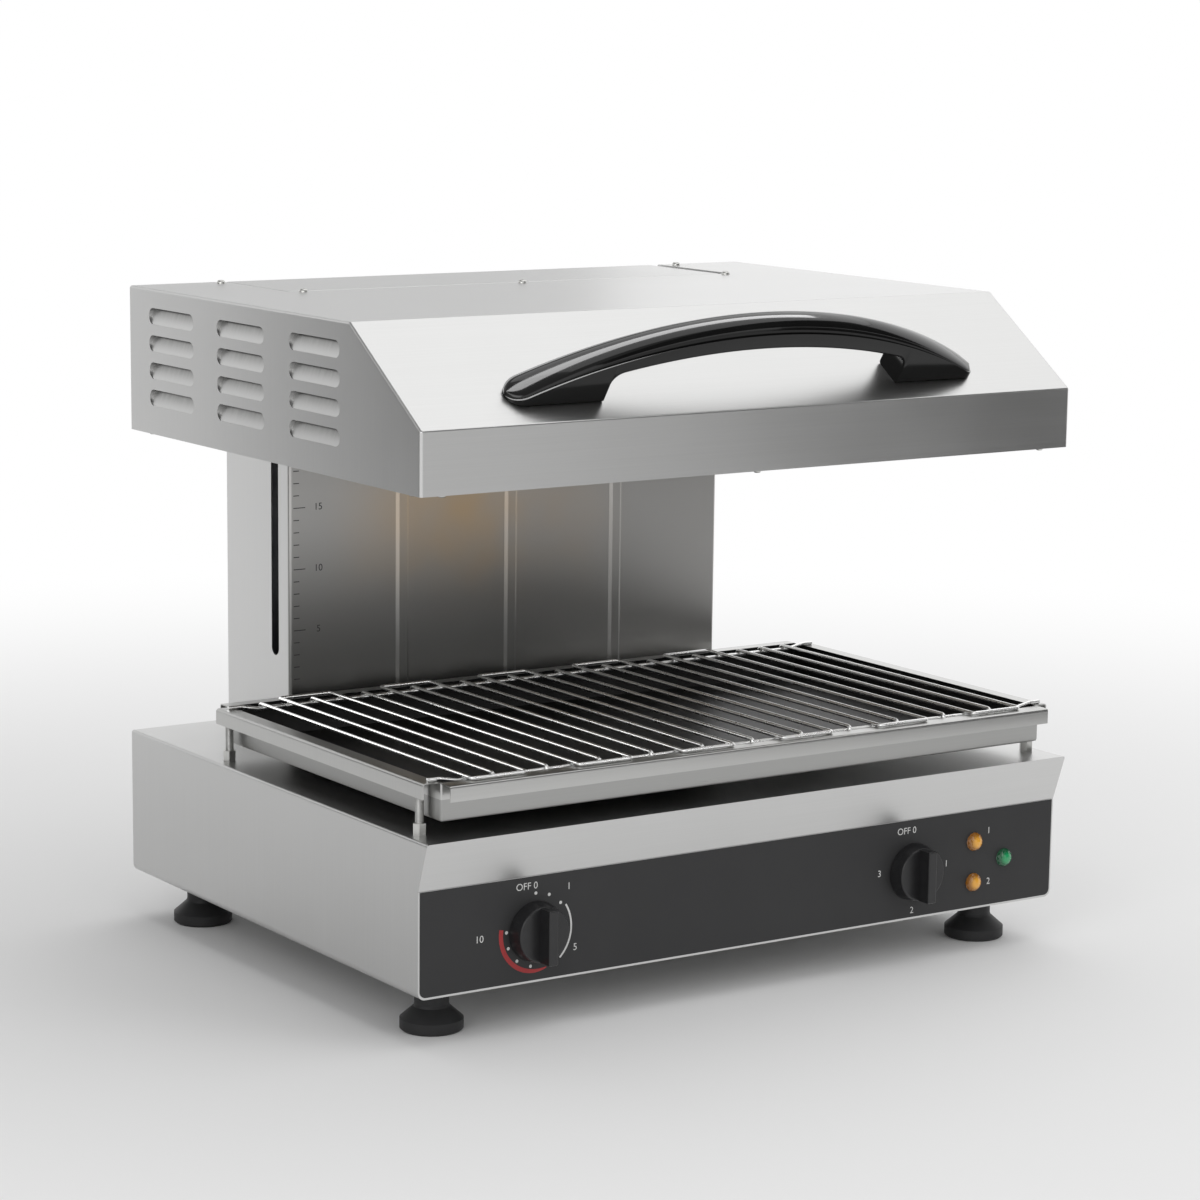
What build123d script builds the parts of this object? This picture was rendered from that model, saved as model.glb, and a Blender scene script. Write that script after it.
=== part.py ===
from build123d import *
import math
import os

os.makedirs("parts", exist_ok=True)

# Base cabinet: a folded steel casing with a leaning lip above the control panel
WIDTH = 600.0
BASE_DEPTH = 460.0
BASE_HEIGHT = 119.0
PANEL_HEIGHT = 81.5
LIP_OUT = 13.0
FOOT_HEIGHT = 38.0
SHEET = 1.2
PANEL_SHEET = 1.5
BEND = 6.0

# Heating head, drawn at the top of its travel
HEAD_BOTTOM = 407.0
HEAD_HEIGHT = 116.0
HEAD_FRONT = 47.0
HEAD_LEAD = 2.0
HEAD_BACK = 5.0
HEAD_CLEAR = 49.0
SLOPE_RUN = 101.0
LOUVRE_LENGTH = 76.0
LOUVRE_HEIGHT = 13.0

# Column behind the cooking space
COLUMN_INSET = 89.5
COLUMN_DEPTH = 107.0
NOTCH_GAP = 5.5
SLOT_WIDTH = 12.0
SLOT_SETBACK = 24.5

# Lifting gear inside the column
ROD_RADIUS = 6.0
BEAM_THICK = 8.0
BLOCK_REACH = 15.0
BOLT_RADIUS = 4.0
PIN_RADIUS = 4.0
ROPE_RADIUS = 2.0
WEIGHT_INSET = 58.5
WEIGHT_GAP = 3.0
WEIGHT_REAR = 10.8
WEIGHT_HEIGHT = 172.0

# Handle on the sloping face
HANDLE_LENGTH = 430.0
HANDLE_RISE = 64.0
HANDLE_THICK = 22.0
HANDLE_WIDTH = 26.0
HANDLE_FOOT = 79.0

# Drip tray, its posts and the wire grate
TRAY_INSET = 6.5
TRAY_GAP = 12.0
TRAY_HEIGHT = 29.0
RIM_WIDTH = 13.4
RIM_HEIGHT = 12.0
TRAY_LIFT = 41.0
POST_RADIUS = 3.2
WIRE_RADIUS = 1.5
WIRE_EDGE = 36.1
WIRE_COUNT = 23

# Controls and inlet
KNOB_RADIUS = 23.0
KNOB_OUT = 26.0
LAMP_RADIUS = 7.5
GLAND_OUT = 12.0
HEATER_RADIUS = 4.0
BAR_RADIUS = 2.5
WOOL_THICK = 24.0
SCREW_HEAD = 3.4
SCREW_LENGTH = 7.0

# Places that follow from the sizes above
panel_y = KNOB_OUT - (BASE_DEPTH + KNOB_OUT + GLAND_OUT) / 2
back_y = panel_y + BASE_DEPTH
half = WIDTH / 2
floor_z = FOOT_HEIGHT
base_top = floor_z + BASE_HEIGHT
lip_z = floor_z + PANEL_HEIGHT
col_back = back_y - 0.5
col_front = col_back - COLUMN_DEPTH
col_half = half - COLUMN_INSET
head_top = HEAD_BOTTOM + HEAD_HEIGHT
front_top = HEAD_BOTTOM + HEAD_FRONT
head_y0 = panel_y - HEAD_LEAD
head_y1 = back_y - HEAD_BACK
col_top = head_top - 3.0
slot_y = col_front + SLOT_SETBACK
rod_x = 0.712 * col_half
rod_y = slot_y + BEAM_THICK / 2 + BLOCK_REACH + 0.5
beam_z0 = HEAD_BOTTOM + 0.043 * HEAD_HEIGHT
beam_z1 = beam_z0 + 0.33 * HEAD_HEIGHT
bed_z = floor_z + SHEET + PANEL_SHEET
rim_z = base_top + TRAY_LIFT
head_travel = HEAD_BOTTOM - rim_z - HEAD_CLEAR


def block(x0, x1, y0, y1, z0, z1):
    """A box between two corners."""
    return Pos((x0 + x1) / 2, (y0 + y1) / 2, (z0 + z1) / 2) * Box(x1 - x0, y1 - y0, z1 - z0)


def pin_z(x, y, z0, z1, radius):
    """A round bar along Z."""
    return Pos(x, y, (z0 + z1) / 2) * Cylinder(radius, z1 - z0)


def pin_y(x, z, y0, y1, radius):
    """A round bar along Y."""
    return Pos(x, (y0 + y1) / 2, z) * Rot(90, 0, 0) * Cylinder(radius, y1 - y0)


def pin_x(y, z, x0, x1, radius):
    """A round bar along X."""
    return Pos((x0 + x1) / 2, y, z) * Rot(0, 90, 0) * Cylinder(radius, x1 - x0)


def prism_x(points, x0, x1):
    """A profile given in Y and Z, drawn out along X."""
    face = Plane.YZ * make_face(Polyline(*points, close=True))
    return Pos(x0, 0, 0) * extrude(face, x1 - x0, dir=(1, 0, 0))


def prism_z(points, z0, z1):
    """A profile given in X and Y, drawn out along Z."""
    return Pos(0, 0, z0) * extrude(make_face(Polyline(*points, close=True)), z1 - z0)


def turned(points):
    """A profile of radius and height, turned about Z."""
    return revolve(Plane.XZ * make_face(Polyline(*points, close=True)), Axis.Z)


def hex_nut(across, height, bore):
    """A hexagon nut standing on Z zero."""
    return extrude(RegularPolygon(across / 2, 6, major_radius=False), height) - pin_z(0, 0, -1, height + 1, bore)


def screw(radius, length):
    """A pan-head screw along Z: the head is above zero, the shank below."""
    head = turned([(0, 0), (radius, 0), (0.86 * radius, 0.55 * radius), (0.4 * radius, 0.75 * radius),
                   (0, 0.78 * radius)])
    return head + pin_z(0, 0, -length, 0.1, 0.45 * radius)


def save(name, *pieces):
    """Write one node; a group keeps its solids apart."""
    solids = [solid for piece in pieces for solid in piece.solids()]
    shape = solids[0] if len(solids) == 1 else Compound(solids)
    export_step(shape, f"parts/{name}.step")


def both(piece):
    """A piece and its twin on the other side of the object."""
    return [piece, mirror(piece, about=Plane.YZ)]


# Feet: moulded pads on threaded studs, and the nuts that hold them in the floor
foot_x = half - 40.0
foot_ys = [(panel_y + back_y) / 2 + side * (BASE_DEPTH / 2 - 47.0) for side in (-1, 1)]
foot_profile = [(0, 0), (22.5, 0), (24, 1.5), (24, 9), (13.8, 18), (13, 20), (13, floor_z + SHEET),
                (5, floor_z + SHEET), (5, bed_z + 20), (0, bed_z + 20)]
foot = turned(foot_profile)
for end, y in zip(("front", "rear"), foot_ys):
    save(f"foot_{end}_left", Pos(-foot_x, y, 0) * foot)
    save(f"foot_{end}_right", Pos(foot_x, y, 0) * foot)
foot_places = [(side * foot_x, y) for side in (-1, 1) for y in foot_ys]
save("foot_nuts", *[Pos(x, y, bed_z) * hex_nut(17, 8, 5.05) for x, y in foot_places])

# Counterweight path: the weight hangs behind the carriage and dips into the base,
# and the pulleys are as large as the step from the beam to the weight asks
col_edge = col_back - SHEET
weight_y0 = rod_y + BLOCK_REACH + WEIGHT_GAP
weight_y1 = col_edge - WEIGHT_REAR
weight_y = (weight_y0 + weight_y1) / 2
weight_half = col_half - WEIGHT_INSET
turn_r = (weight_y - slot_y) / 2
pulley_x = 0.285 * col_half
pulley_y = slot_y + turn_r
pulley_z = col_top - SHEET - turn_r - 7.8
weight_z1 = pulley_z - turn_r - 12.0 - head_travel
weight_z0 = weight_z1 - WEIGHT_HEIGHT

# Base casing: top, two sides and the leaning lip, with the lower edges turned under
lip_h = base_top - lip_z
slant = SHEET * math.hypot(lip_h, LIP_OUT) / lip_h
outer = prism_x([(panel_y + PANEL_SHEET, floor_z), (panel_y + PANEL_SHEET, lip_z), (panel_y, lip_z),
                 (panel_y - LIP_OUT, base_top), (back_y, base_top), (back_y, floor_z)], -half, half)
outer = fillet(outer.edges().filter_by(Axis.Y).group_by(Axis.Z)[0], BEND)
outer = fillet(outer.edges().filter_by(Axis.Y).group_by(Axis.Z)[-1], 2.2)
inner_top = base_top - SHEET
lip_in = panel_y + slant - LIP_OUT * (inner_top - lip_z) / lip_h
inner = prism_x([(panel_y - 40, floor_z + SHEET), (panel_y - 40, lip_z), (panel_y + slant, lip_z),
                 (lip_in, inner_top), (back_y + 20, inner_top), (back_y + 20, floor_z + SHEET)],
                SHEET - half, half - SHEET)
inner = fillet(inner.edges().filter_by(Axis.Y).group_by(Axis.Z)[0], BEND - SHEET)
inner = fillet(inner.edges().filter_by(Axis.Y).group_by(Axis.Z)[-1], 1.0)
casing = outer - inner
casing -= block(16 - half, half - 16, panel_y - 50, back_y + 20, floor_z - 5, floor_z + SHEET + 1)
rear_flange = block(half - SHEET - 14, half - SHEET, back_y - PANEL_SHEET - SHEET, back_y - PANEL_SHEET,
                    floor_z + 12, base_top - 4)
for piece in both(rear_flange):
    casing += piece
tray_x = half - TRAY_INSET
post_x = tray_x - RIM_WIDTH / 2
tray_y0 = panel_y - LIP_OUT + 0.5
tray_y1 = col_front - TRAY_GAP
post_ys = [tray_y0 + 33.0, tray_y1 - 27.0]
post_places = [(side * post_x, y) for side in (-1, 1) for y in post_ys]
casing -= [pin_z(x, y, base_top - 4, base_top + 4, POST_RADIUS + 0.1) for x, y in post_places]
casing -= block(-weight_half - 6, weight_half + 6, weight_y0 - WEIGHT_GAP, weight_y1 + WEIGHT_GAP,
                base_top - 5, base_top + 5)
rear_xs = [half - SHEET - 7, SHEET + 7 - half]
rear_zs = [floor_z + 24, base_top - 18]
casing -= [pin_y(x, z, back_y - 6, back_y, 1.7) for x in rear_xs for z in rear_zs]
save("base_casing", casing)

# Front panel, its dark printed film and the control places on it
timer_x = -0.332 * WIDTH
selector_x = 0.26 * WIDTH
control_z = floor_z + 0.478 * PANEL_HEIGHT
lamp_step = 0.205 * PANEL_HEIGHT
lamp_x = selector_x + 2.7 * KNOB_RADIUS
amber_places = [(lamp_x, control_z + lamp_step), (lamp_x, control_z - lamp_step)]
green_place = (lamp_x + 31.0, control_z)
holes = [pin_y(x, control_z, panel_y - 5, panel_y + 5, 5.5) for x in (timer_x, selector_x)]
holes += [pin_y(x, z, panel_y - 5, panel_y + 5, 0.77 * LAMP_RADIUS + 0.4) for x, z in amber_places + [green_place]]
panel = block(-half, half, panel_y, panel_y + PANEL_SHEET, floor_z, lip_z - 0.2)
panel = fillet(panel.edges().filter_by(Axis.Y).group_by(Axis.Z)[0], BEND)
save("front_panel", panel - holes)
film = block(1.5 - half, half - 1.5, panel_y - 0.4, panel_y, floor_z + 1.7, lip_z - 0.6)
film = fillet(film.edges().filter_by(Axis.Y).group_by(Axis.Z)[0], BEND - 1)
save("panel_film", film - holes)

# Floor plate lying on the turned-under edges, with ventilation slots
floor = block(BEND + SHEET - half, half - BEND - SHEET, panel_y + PANEL_SHEET + 0.5, back_y - 4,
              floor_z + SHEET, bed_z)
floor -= [pin_z(x, y, floor_z, bed_z + 1, 5.4) for x, y in foot_places]
vent = extrude(SlotOverall(70, 6), 8)
floor -= [Pos(x, 30.0 * row, floor_z - 1) * vent for x in (-110, 0, 110) for row in (-2, -1, 0, 1, 2)]
save("floor_plate", floor)

# Rear plate of the base with vents and the cable gland
gland_x = -0.34 * WIDTH
gland_z = floor_z + 36.0
rear = block(SHEET + 0.4 - half, half - SHEET - 0.4, back_y - PANEL_SHEET, back_y,
             floor_z + SHEET + 0.4, base_top - SHEET - 0.4)
rear = fillet(rear.edges().filter_by(Axis.Y).group_by(Axis.Z)[0], BEND)
rear -= pin_y(gland_x, gland_z, back_y - 5, back_y + 5, 10.1)
rear_vent = Rot(90, 0, 0) * extrude(SlotOverall(64, 5), 10, both=True)
rear -= [Pos(x, back_y, control_z + 15.0 * row) * rear_vent for x in (60, 150) for row in (-1, 0, 1)]
rear -= [pin_y(x, z, back_y - 5, back_y + 5, 1.7) for x in rear_xs for z in rear_zs]
save("base_rear", rear)
gland_profile = [(5, -12), (9.8, -12), (9.8, -PANEL_SHEET - 5), (14, -PANEL_SHEET - 5), (14, -PANEL_SHEET),
                 (9.8, -PANEL_SHEET), (9.8, 0), (14.5, 0), (14.5, 5), (12.5, 6.5), (11, GLAND_OUT - 2),
                 (9, GLAND_OUT), (5, GLAND_OUT)]
save("cable_gland", Pos(gland_x, back_y, gland_z) * Rot(-90, 0, 0) * turned(gland_profile))

# Terminal block on the floor plate near the gland
term = block(gland_x - 42, gland_x + 42, back_y - 104, back_y - 74, bed_z, bed_z + 24)
term -= [block(gland_x + 14 * i - 1, gland_x + 14 * i + 1, back_y - 112, back_y - 62, bed_z + 12, bed_z + 30)
         for i in (-2, -1, 0, 1, 2)]
save("terminal_block", term)

# Timer and selector switch behind the panel; each has a bush that passes through it
bush_face = panel_y - 0.4
for name, x, size, depth in (("timer_body", timer_x, 54, 44), ("selector_body", selector_x, 46, 58)):
    body = block(x - size / 2, x + size / 2, panel_y + PANEL_SHEET, panel_y + PANEL_SHEET + depth,
                 control_z - size / 2 + 4, control_z + size / 2 - 4)
    body += pin_y(x, control_z, bush_face, panel_y + PANEL_SHEET + 1, 5.3)
    body -= pin_y(x, control_z, bush_face - 1, panel_y + 22, 3.05)
    save(name, body)

# Knobs: a round skirt with a straight grip across it, on a steel shaft
knob_y0 = panel_y - KNOB_OUT
skirt_y0 = panel_y - 13.6
skirt_y1 = panel_y - 1.4
skirt_top = 0.925 * KNOB_RADIUS
for name, x in (("timer", timer_x), ("selector", selector_x)):
    skirt = Pos(x, skirt_y1, control_z) * Rot(90, 0, 0) * turned(
        [(0, 0), (KNOB_RADIUS, 0), (skirt_top, skirt_y1 - skirt_y0), (0, skirt_y1 - skirt_y0)])
    skirt = fillet(skirt.edges().group_by(Axis.Y)[0], 1.4)
    grip = block(x - 4, x + 4, knob_y0, skirt_y0 + 1, control_z - KNOB_RADIUS, control_z + KNOB_RADIUS)
    grip &= pin_y(x, control_z, knob_y0 - 1, skirt_y0 + 2, skirt_top - 0.3)
    grip = fillet(grip.edges().group_by(Axis.Y)[0], 1.2)
    knob = skirt + grip - pin_y(x, control_z, panel_y - 17, panel_y, 3.05)
    save(f"{name}_knob", knob)
    save(f"{name}_shaft", pin_y(x, control_z, panel_y - 16.5, panel_y + 21, 3.0))

# Pilot lamps: domed lenses in front of the panel, holders behind it
lens = turned([(0, 5.6), (0.37 * LAMP_RADIUS, 5.2), (0.69 * LAMP_RADIUS, 3.9), (0.89 * LAMP_RADIUS, 2.2),
               (LAMP_RADIUS, 1.0), (LAMP_RADIUS, 0), (0.77 * LAMP_RADIUS, 0), (0.77 * LAMP_RADIUS, -8), (0, -8)])
lamp_bore = 0.77 * LAMP_RADIUS + 0.3
holder = turned([(0, -34), (5, -34), (5, -26), (lamp_bore + 3, -26), (lamp_bore + 3, 0), (lamp_bore, 0),
                 (lamp_bore, -8.3), (0, -8.3)])
face_out = Rot(90, 0, 0)
save("lamps_amber", *[Pos(x, panel_y - 0.4, z) * face_out * lens for x, z in amber_places])
save("lamp_green", Pos(green_place[0], panel_y - 0.4, green_place[1]) * face_out * lens)
save("lamp_holders", *[Pos(x, panel_y + PANEL_SHEET, z) * face_out * holder
                       for x, z in amber_places + [green_place]])

# Posts that carry the tray, with a tall nut above the sheet and a thin one below
post = pin_z(0, 0, base_top - 12, rim_z - 1.0, POST_RADIUS)
save("tray_posts", *[Pos(x, y, 0) * post for x, y in post_places])
tall_nut = hex_nut(9.2, 8.6, POST_RADIUS + 0.05)
thin_nut = hex_nut(9.2, 5, POST_RADIUS + 0.05)
save("post_nuts", *[Pos(x, y, base_top) * tall_nut for x, y in post_places],
     *[Pos(x, y, base_top - SHEET - 5) * thin_nut for x, y in post_places])

# Column: a folded front and sides with pressed ribs, and a slot in each side for the lifting beam
shell = block(-col_half, col_half, col_front, col_edge, base_top, col_top - SHEET)
shell = fillet(shell.edges().filter_by(Axis.Z).group_by(Axis.Y)[0], 2.5)
hollow = block(SHEET - col_half, col_half - SHEET, col_front + SHEET, col_edge + 9, base_top - 5, col_top + 5)
hollow = fillet(hollow.edges().filter_by(Axis.Z).group_by(Axis.Y)[0], 1.3)
shell -= hollow
for piece in both(block(col_half - SHEET - 14, col_half - SHEET, col_edge - SHEET, col_edge,
                        base_top, col_top - 16)):
    shell += piece
rib_out = 1.8
for x in (-0.5 * col_half, 0, 0.5 * col_half):
    crest = [(x - 6.5, col_front + 0.2), (x - 3.6, col_front - rib_out), (x + 3.6, col_front - rib_out),
             (x + 6.5, col_front + 0.2)]
    shell += prism_z(crest, base_top, col_top - SHEET)
    groove = [(x - 5.6, col_front + SHEET + 0.1), (x - 3.0, col_front + SHEET - rib_out),
              (x + 3.0, col_front + SHEET - rib_out), (x + 5.6, col_front + SHEET + 0.1)]
    shell -= prism_z(groove, base_top - 1, col_top)
slot_z0 = beam_z0 - head_travel - 27.0
slot_z1 = beam_z1 + 9.0
slot_shape = Plane.YZ * Pos(slot_y, (slot_z0 + slot_z1) / 2) * Rot(0, 0, 90) * SlotOverall(slot_z1 - slot_z0,
                                                                                          SLOT_WIDTH)
shell -= extrude(slot_shape, WIDTH, both=True)
column_screw_places = [(side * (col_half - SHEET - 7), z) for side in (-1, 1)
                       for z in (base_top + 20, (base_top + col_top) / 2, col_top - 40)]
shell -= [pin_y(x, z, col_edge - 5, col_edge + 1, 1.7) for x, z in column_screw_places]
save("column_shell", shell)

# Rear plate of the column with vents, and the cap that closes its top
plate = block(0.3 - col_half, col_half - 0.3, col_edge, col_back, base_top, col_top - SHEET)
plate -= [Pos(x, col_back, col_top - 60 - 16.0 * row) * rear_vent for x in (-90, 0, 90) for row in range(4)]
plate -= [pin_y(x, z, col_back - 5, col_back + 5, 1.7) for x, z in column_screw_places]
save("column_rear", plate)
cap = block(-col_half, col_half, col_front, col_back, col_top - SHEET, col_top)
cap = fillet(cap.edges().filter_by(Axis.Z).group_by(Axis.Y)[0], 2.5)
for piece in both(block(col_half - 2 * SHEET - 0.2, col_half - SHEET - 0.2, col_front + 12, col_edge - 12,
                        col_top - 12, col_top - SHEET)):
    cap += piece
save("column_cap", cap)
rear_screw = Rot(-90, 0, 0) * screw(SCREW_HEAD, SCREW_LENGTH)
save("rear_screws", *[Pos(x, back_y, z) * rear_screw for x in rear_xs for z in rear_zs],
     *[Pos(x, col_back, z) * rear_screw for x, z in column_screw_places])

# Guide rods between foot blocks and top blocks, with rubber stops at the lower end of travel
stop_z = beam_z0 - head_travel - 0.3
foot_block = block(rod_x - 20, rod_x + 20, rod_y - BLOCK_REACH, rod_y + BLOCK_REACH, base_top, stop_z - 12)
foot_block -= pin_z(rod_x, rod_y, base_top + 6, stop_z, ROD_RADIUS + 0.03)
save("rod_foot_blocks", *both(foot_block))
top_block = block(rod_x - 18, rod_x + 18, col_front + SHEET, rod_y + 14, col_top - 28, col_top - 12)
top_block -= pin_z(rod_x, rod_y, col_top - 40, col_top - 15, ROD_RADIUS + 0.03)
save("rod_top_blocks", *both(top_block))
save("guide_rods", *both(pin_z(rod_x, rod_y, base_top + 6, col_top - 15, ROD_RADIUS)))
stop = pin_z(rod_x, rod_y, stop_z - 12, stop_z, 13) - pin_z(rod_x, rod_y, stop_z - 13, stop_z + 1,
                                                              ROD_RADIUS + 0.4)
save("travel_stops", *both(stop))

# Pulleys over which the ropes run, their clevises under the cap and their pins
groove_r = turn_r - ROPE_RADIUS - 0.3
pulley_r = turn_r + 3.0
wheel = turned([(PIN_RADIUS + 0.03, -6), (pulley_r, -6), (pulley_r, -4), (groove_r, -2.5), (groove_r, 2.5),
                (pulley_r, 4), (pulley_r, 6), (PIN_RADIUS + 0.03, 6)])
wheel -= [Pos(0.62 * groove_r * math.cos(a), 0.62 * groove_r * math.sin(a), 0) * Cylinder(5, 30)
          for a in (math.radians(90 + 120 * i) for i in range(3))]
for name, x in (("pulley_left", -pulley_x), ("pulley_right", pulley_x)):
    save(name, Pos(x, pulley_y, pulley_z) * Rot(0, 90, 0) * wheel)
clevis = block(pulley_x - 10, pulley_x + 10, pulley_y - 14, pulley_y + 14, pulley_z - 10, col_top - SHEET)
clevis -= block(pulley_x - 7, pulley_x + 7, pulley_y - 20, pulley_y + 20, pulley_z - 20, col_top - SHEET - 2.5)
clevis -= pin_x(pulley_y, pulley_z, 0, 2 * pulley_x, PIN_RADIUS + 0.05)
save("pulley_clevises", *both(clevis))
axle = pin_x(pulley_y, pulley_z, pulley_x - 12.5, pulley_x + 12.5, PIN_RADIUS)
axle += pin_x(pulley_y, pulley_z, pulley_x + 10.3, pulley_x + 12.5, 1.5 * PIN_RADIUS)
save("pulley_pins", *both(axle))

# Counterweight in its guides, and the two wire ropes from the beam over the pulleys to the weight
anchor_z = beam_z1 - 9.0 * ROPE_RADIUS
weight = block(-weight_half, weight_half, weight_y0, weight_y1, weight_z0, weight_z1)
weight = fillet(weight.edges().filter_by(Axis.Z), 3.0)
weight -= [pin_z(x, weight_y, weight_z1 - 20.3, weight_z1 + 1, ROPE_RADIUS + 0.3) for x in (-pulley_x, pulley_x)]
save("counterweight", weight)
guide = block(weight_half + 1, weight_half + 3, weight_y0 - 2, col_edge, base_top + 2, pulley_z - 8)
guide += block(weight_half + 1, weight_half + 18, col_edge - 2, col_edge, base_top + 2, pulley_z - 8)
save("weight_guides", *both(guide))
run = Line((0, slot_y, anchor_z), (0, slot_y, pulley_z))
wrap = ThreePointArc((0, slot_y, pulley_z), (0, pulley_y, pulley_z + turn_r), (0, weight_y, pulley_z))
drop = Line((0, weight_y, pulley_z), (0, weight_y, weight_z1 - 20))
rope_end = Plane(origin=(0, slot_y, anchor_z), z_dir=(0, 0, 1))
rope = sweep(rope_end * Circle(ROPE_RADIUS), path=run + wrap + drop)
save("ropes", Pos(-pulley_x, 0, 0) * rope, Pos(pulley_x, 0, 0) * rope)

# Lifting beam: it slides on the rods and reaches through both slots into the head
bolt_x = col_half + 42.0
bolt_zs = (beam_z0 + 2.5 * BOLT_RADIUS, beam_z1 - 2.5 * BOLT_RADIUS)
beam_half = col_half + 74.0
beam = block(-beam_half, beam_half, slot_y - BEAM_THICK / 2, slot_y + BEAM_THICK / 2, beam_z0, beam_z1)
beam -= [pin_z(x, slot_y, anchor_z - 0.3, beam_z1 + 1, ROPE_RADIUS + 0.3) for x in (-pulley_x, pulley_x)]
beam -= [pin_y(side * bolt_x, z, slot_y - 20, slot_y + 20, BOLT_RADIUS + 0.2) for side in (-1, 1) for z in bolt_zs]
save("lifting_beam", beam)
bearing = block(rod_x - 18, rod_x + 18, slot_y + BEAM_THICK / 2, rod_y + BLOCK_REACH, beam_z0, beam_z1)
bearing -= pin_z(rod_x, rod_y, beam_z0 - 1, beam_z1 + 1, ROD_RADIUS + 3.02)
save("bearing_blocks", *both(bearing))
bush = pin_z(rod_x, rod_y, beam_z0, beam_z1, ROD_RADIUS + 3) - pin_z(rod_x, rod_y, beam_z0 - 1, beam_z1 + 1,
                                                          ROD_RADIUS + 0.04)
save("guide_bushes", *both(bush))

# Hood: a welded shell with a sloping front, louvres in both sides and a notch for the column
notch_x = col_half + NOTCH_GAP
notch_y = col_front - 8.5
profile = make_face(Polyline((head_y0, HEAD_BOTTOM), (head_y0, front_top), (head_y0 + SLOPE_RUN, head_top),
                             (head_y1, head_top), (head_y1, HEAD_BOTTOM), close=True))
solid = Pos(-half, 0, 0) * extrude(Plane.YZ * profile, WIDTH, dir=(1, 0, 0))
bends = solid.edges() - solid.edges().group_by(Axis.Z)[0]
solid = fillet(bends, 2.2)
core_face = Plane.YZ * offset(profile, -SHEET, kind=Kind.INTERSECTION)
core = Pos(SHEET - half, 0, 0) * extrude(core_face, WIDTH - 2 * SHEET, dir=(1, 0, 0))
core = fillet(core.edges() - core.edges().group_by(Axis.Z)[0], 1.0)
hood = solid - core
hood -= block(14 - half, half - 14, head_y0 + 14, head_y1 - 14, HEAD_BOTTOM - 1, HEAD_BOTTOM + SHEET + 0.5)
hood -= block(-notch_x, notch_x, notch_y, head_y1 + 5, HEAD_BOTTOM - 5, head_top + 5)

# Each louvre is a pocket that leans inward from its lower edge and is open along its top
reach = 5.0
rise = LOUVRE_HEIGHT / 2
opening = Plane.YZ * SlotOverall(LOUVRE_LENGTH, LOUVRE_HEIGHT)
lean = [(2, -rise - 1), (2, rise + 2), (-reach - 1, rise + 2), (-reach, rise), (-0.5, -rise), (-0.5, -rise - 1)]
lean_face = Plane.XZ * make_face(Polyline(*lean, close=True))
pocket = extrude(opening, 20, both=True) & extrude(lean_face, LOUVRE_LENGTH, both=True)
scoop_slot = Plane.YZ * SlotOverall(LOUVRE_LENGTH + 2, LOUVRE_HEIGHT + 2)
scoop_lean = [(-0.4, -rise - 2), (-0.4, rise - 0.6), (-reach - 0.5, rise - 0.6), (-1.7, -rise - 1),
              (-1.7, -rise - 2)]
scoop_face = Plane.XZ * make_face(Polyline(*scoop_lean, close=True))
scoop = extrude(scoop_slot, 20, both=True) & extrude(scoop_face, LOUVRE_LENGTH, both=True)
scoop -= pocket
louvre_ys = [head_y0 + (head_y1 - head_y0) * (0.335 + 0.252 * i) for i in range(3)]
louvre_zs = [head_top - HEAD_HEIGHT * (0.185 + 0.187 * i) for i in range(4)]
places = [Pos(half, y, z) for y in louvre_ys for z in louvre_zs]
pockets = [place * pocket for place in places]
scoops = [place * scoop for place in places]
hood -= pockets + [mirror(piece, about=Plane.YZ) for piece in pockets]
hood += scoops + [mirror(piece, about=Plane.YZ) for piece in scoops]

# Handle: an arch with long feet, standing square on the slope
slope_drop = head_top - front_top
slope_len = math.hypot(SLOPE_RUN, slope_drop)
up_y = SLOPE_RUN / slope_len
up_z = slope_drop / slope_len
seat = 0.255 * slope_len
handle_plane = Plane(origin=(0, head_y0 + seat * up_y, front_top + seat * up_z), x_dir=(1, 0, 0),
                     z_dir=(0, -up_y, -up_z))
reach_x = HANDLE_LENGTH / 2
inner_x = reach_x - HANDLE_FOOT
handle_gap = HANDLE_RISE - HANDLE_THICK
tip = 5.0
crown = ThreePointArc((-reach_x, tip), (0, HANDLE_RISE), (reach_x, tip))
spring = 0.57 * handle_gap
sole_right = Polyline((reach_x, tip), (reach_x - 3, 0), (inner_x, 0), (inner_x, spring))
belly = ThreePointArc((inner_x, spring), (0, handle_gap), (-inner_x, spring))
sole_left = Polyline((-inner_x, spring), (-inner_x, 0), (3 - reach_x, 0), (-reach_x, tip))
arch = make_face([crown, sole_right, belly, sole_left])
arch = fillet([corner for corner in arch.vertices() if abs(corner.Y - spring) < 0.01], 0.3 * handle_gap)
handle = handle_plane * extrude(arch, HANDLE_WIDTH / 2, both=True)
handle = fillet(handle.edges().filter_by(GeomType.CIRCLE), 0.24 * HANDLE_THICK)
outline = Plane(origin=handle_plane.origin, x_dir=(1, 0, 0), z_dir=handle_plane.y_dir)
handle &= outline * extrude(SlotOverall(HANDLE_LENGTH, HANDLE_WIDTH), 2 * HANDLE_RISE)
screw_places = [handle_plane * Pos(x, 0, 0) * Rot(90, 0, 0) for x in (0.79 * -reach_x, 0.79 * reach_x)]
handle -= [place * pin_z(0, 0, -16, 1, 3.1) for place in screw_places]
hood -= [place * pin_z(0, 0, -5, 8, 3.3) for place in screw_places]
save("handle", handle)
handle_screw = pin_z(0, 0, -15, SHEET, 3.0) + pin_z(0, 0, SHEET, SHEET + 3.4, 6.0)
save("handle_screws", *[place * handle_screw for place in screw_places])

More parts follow.
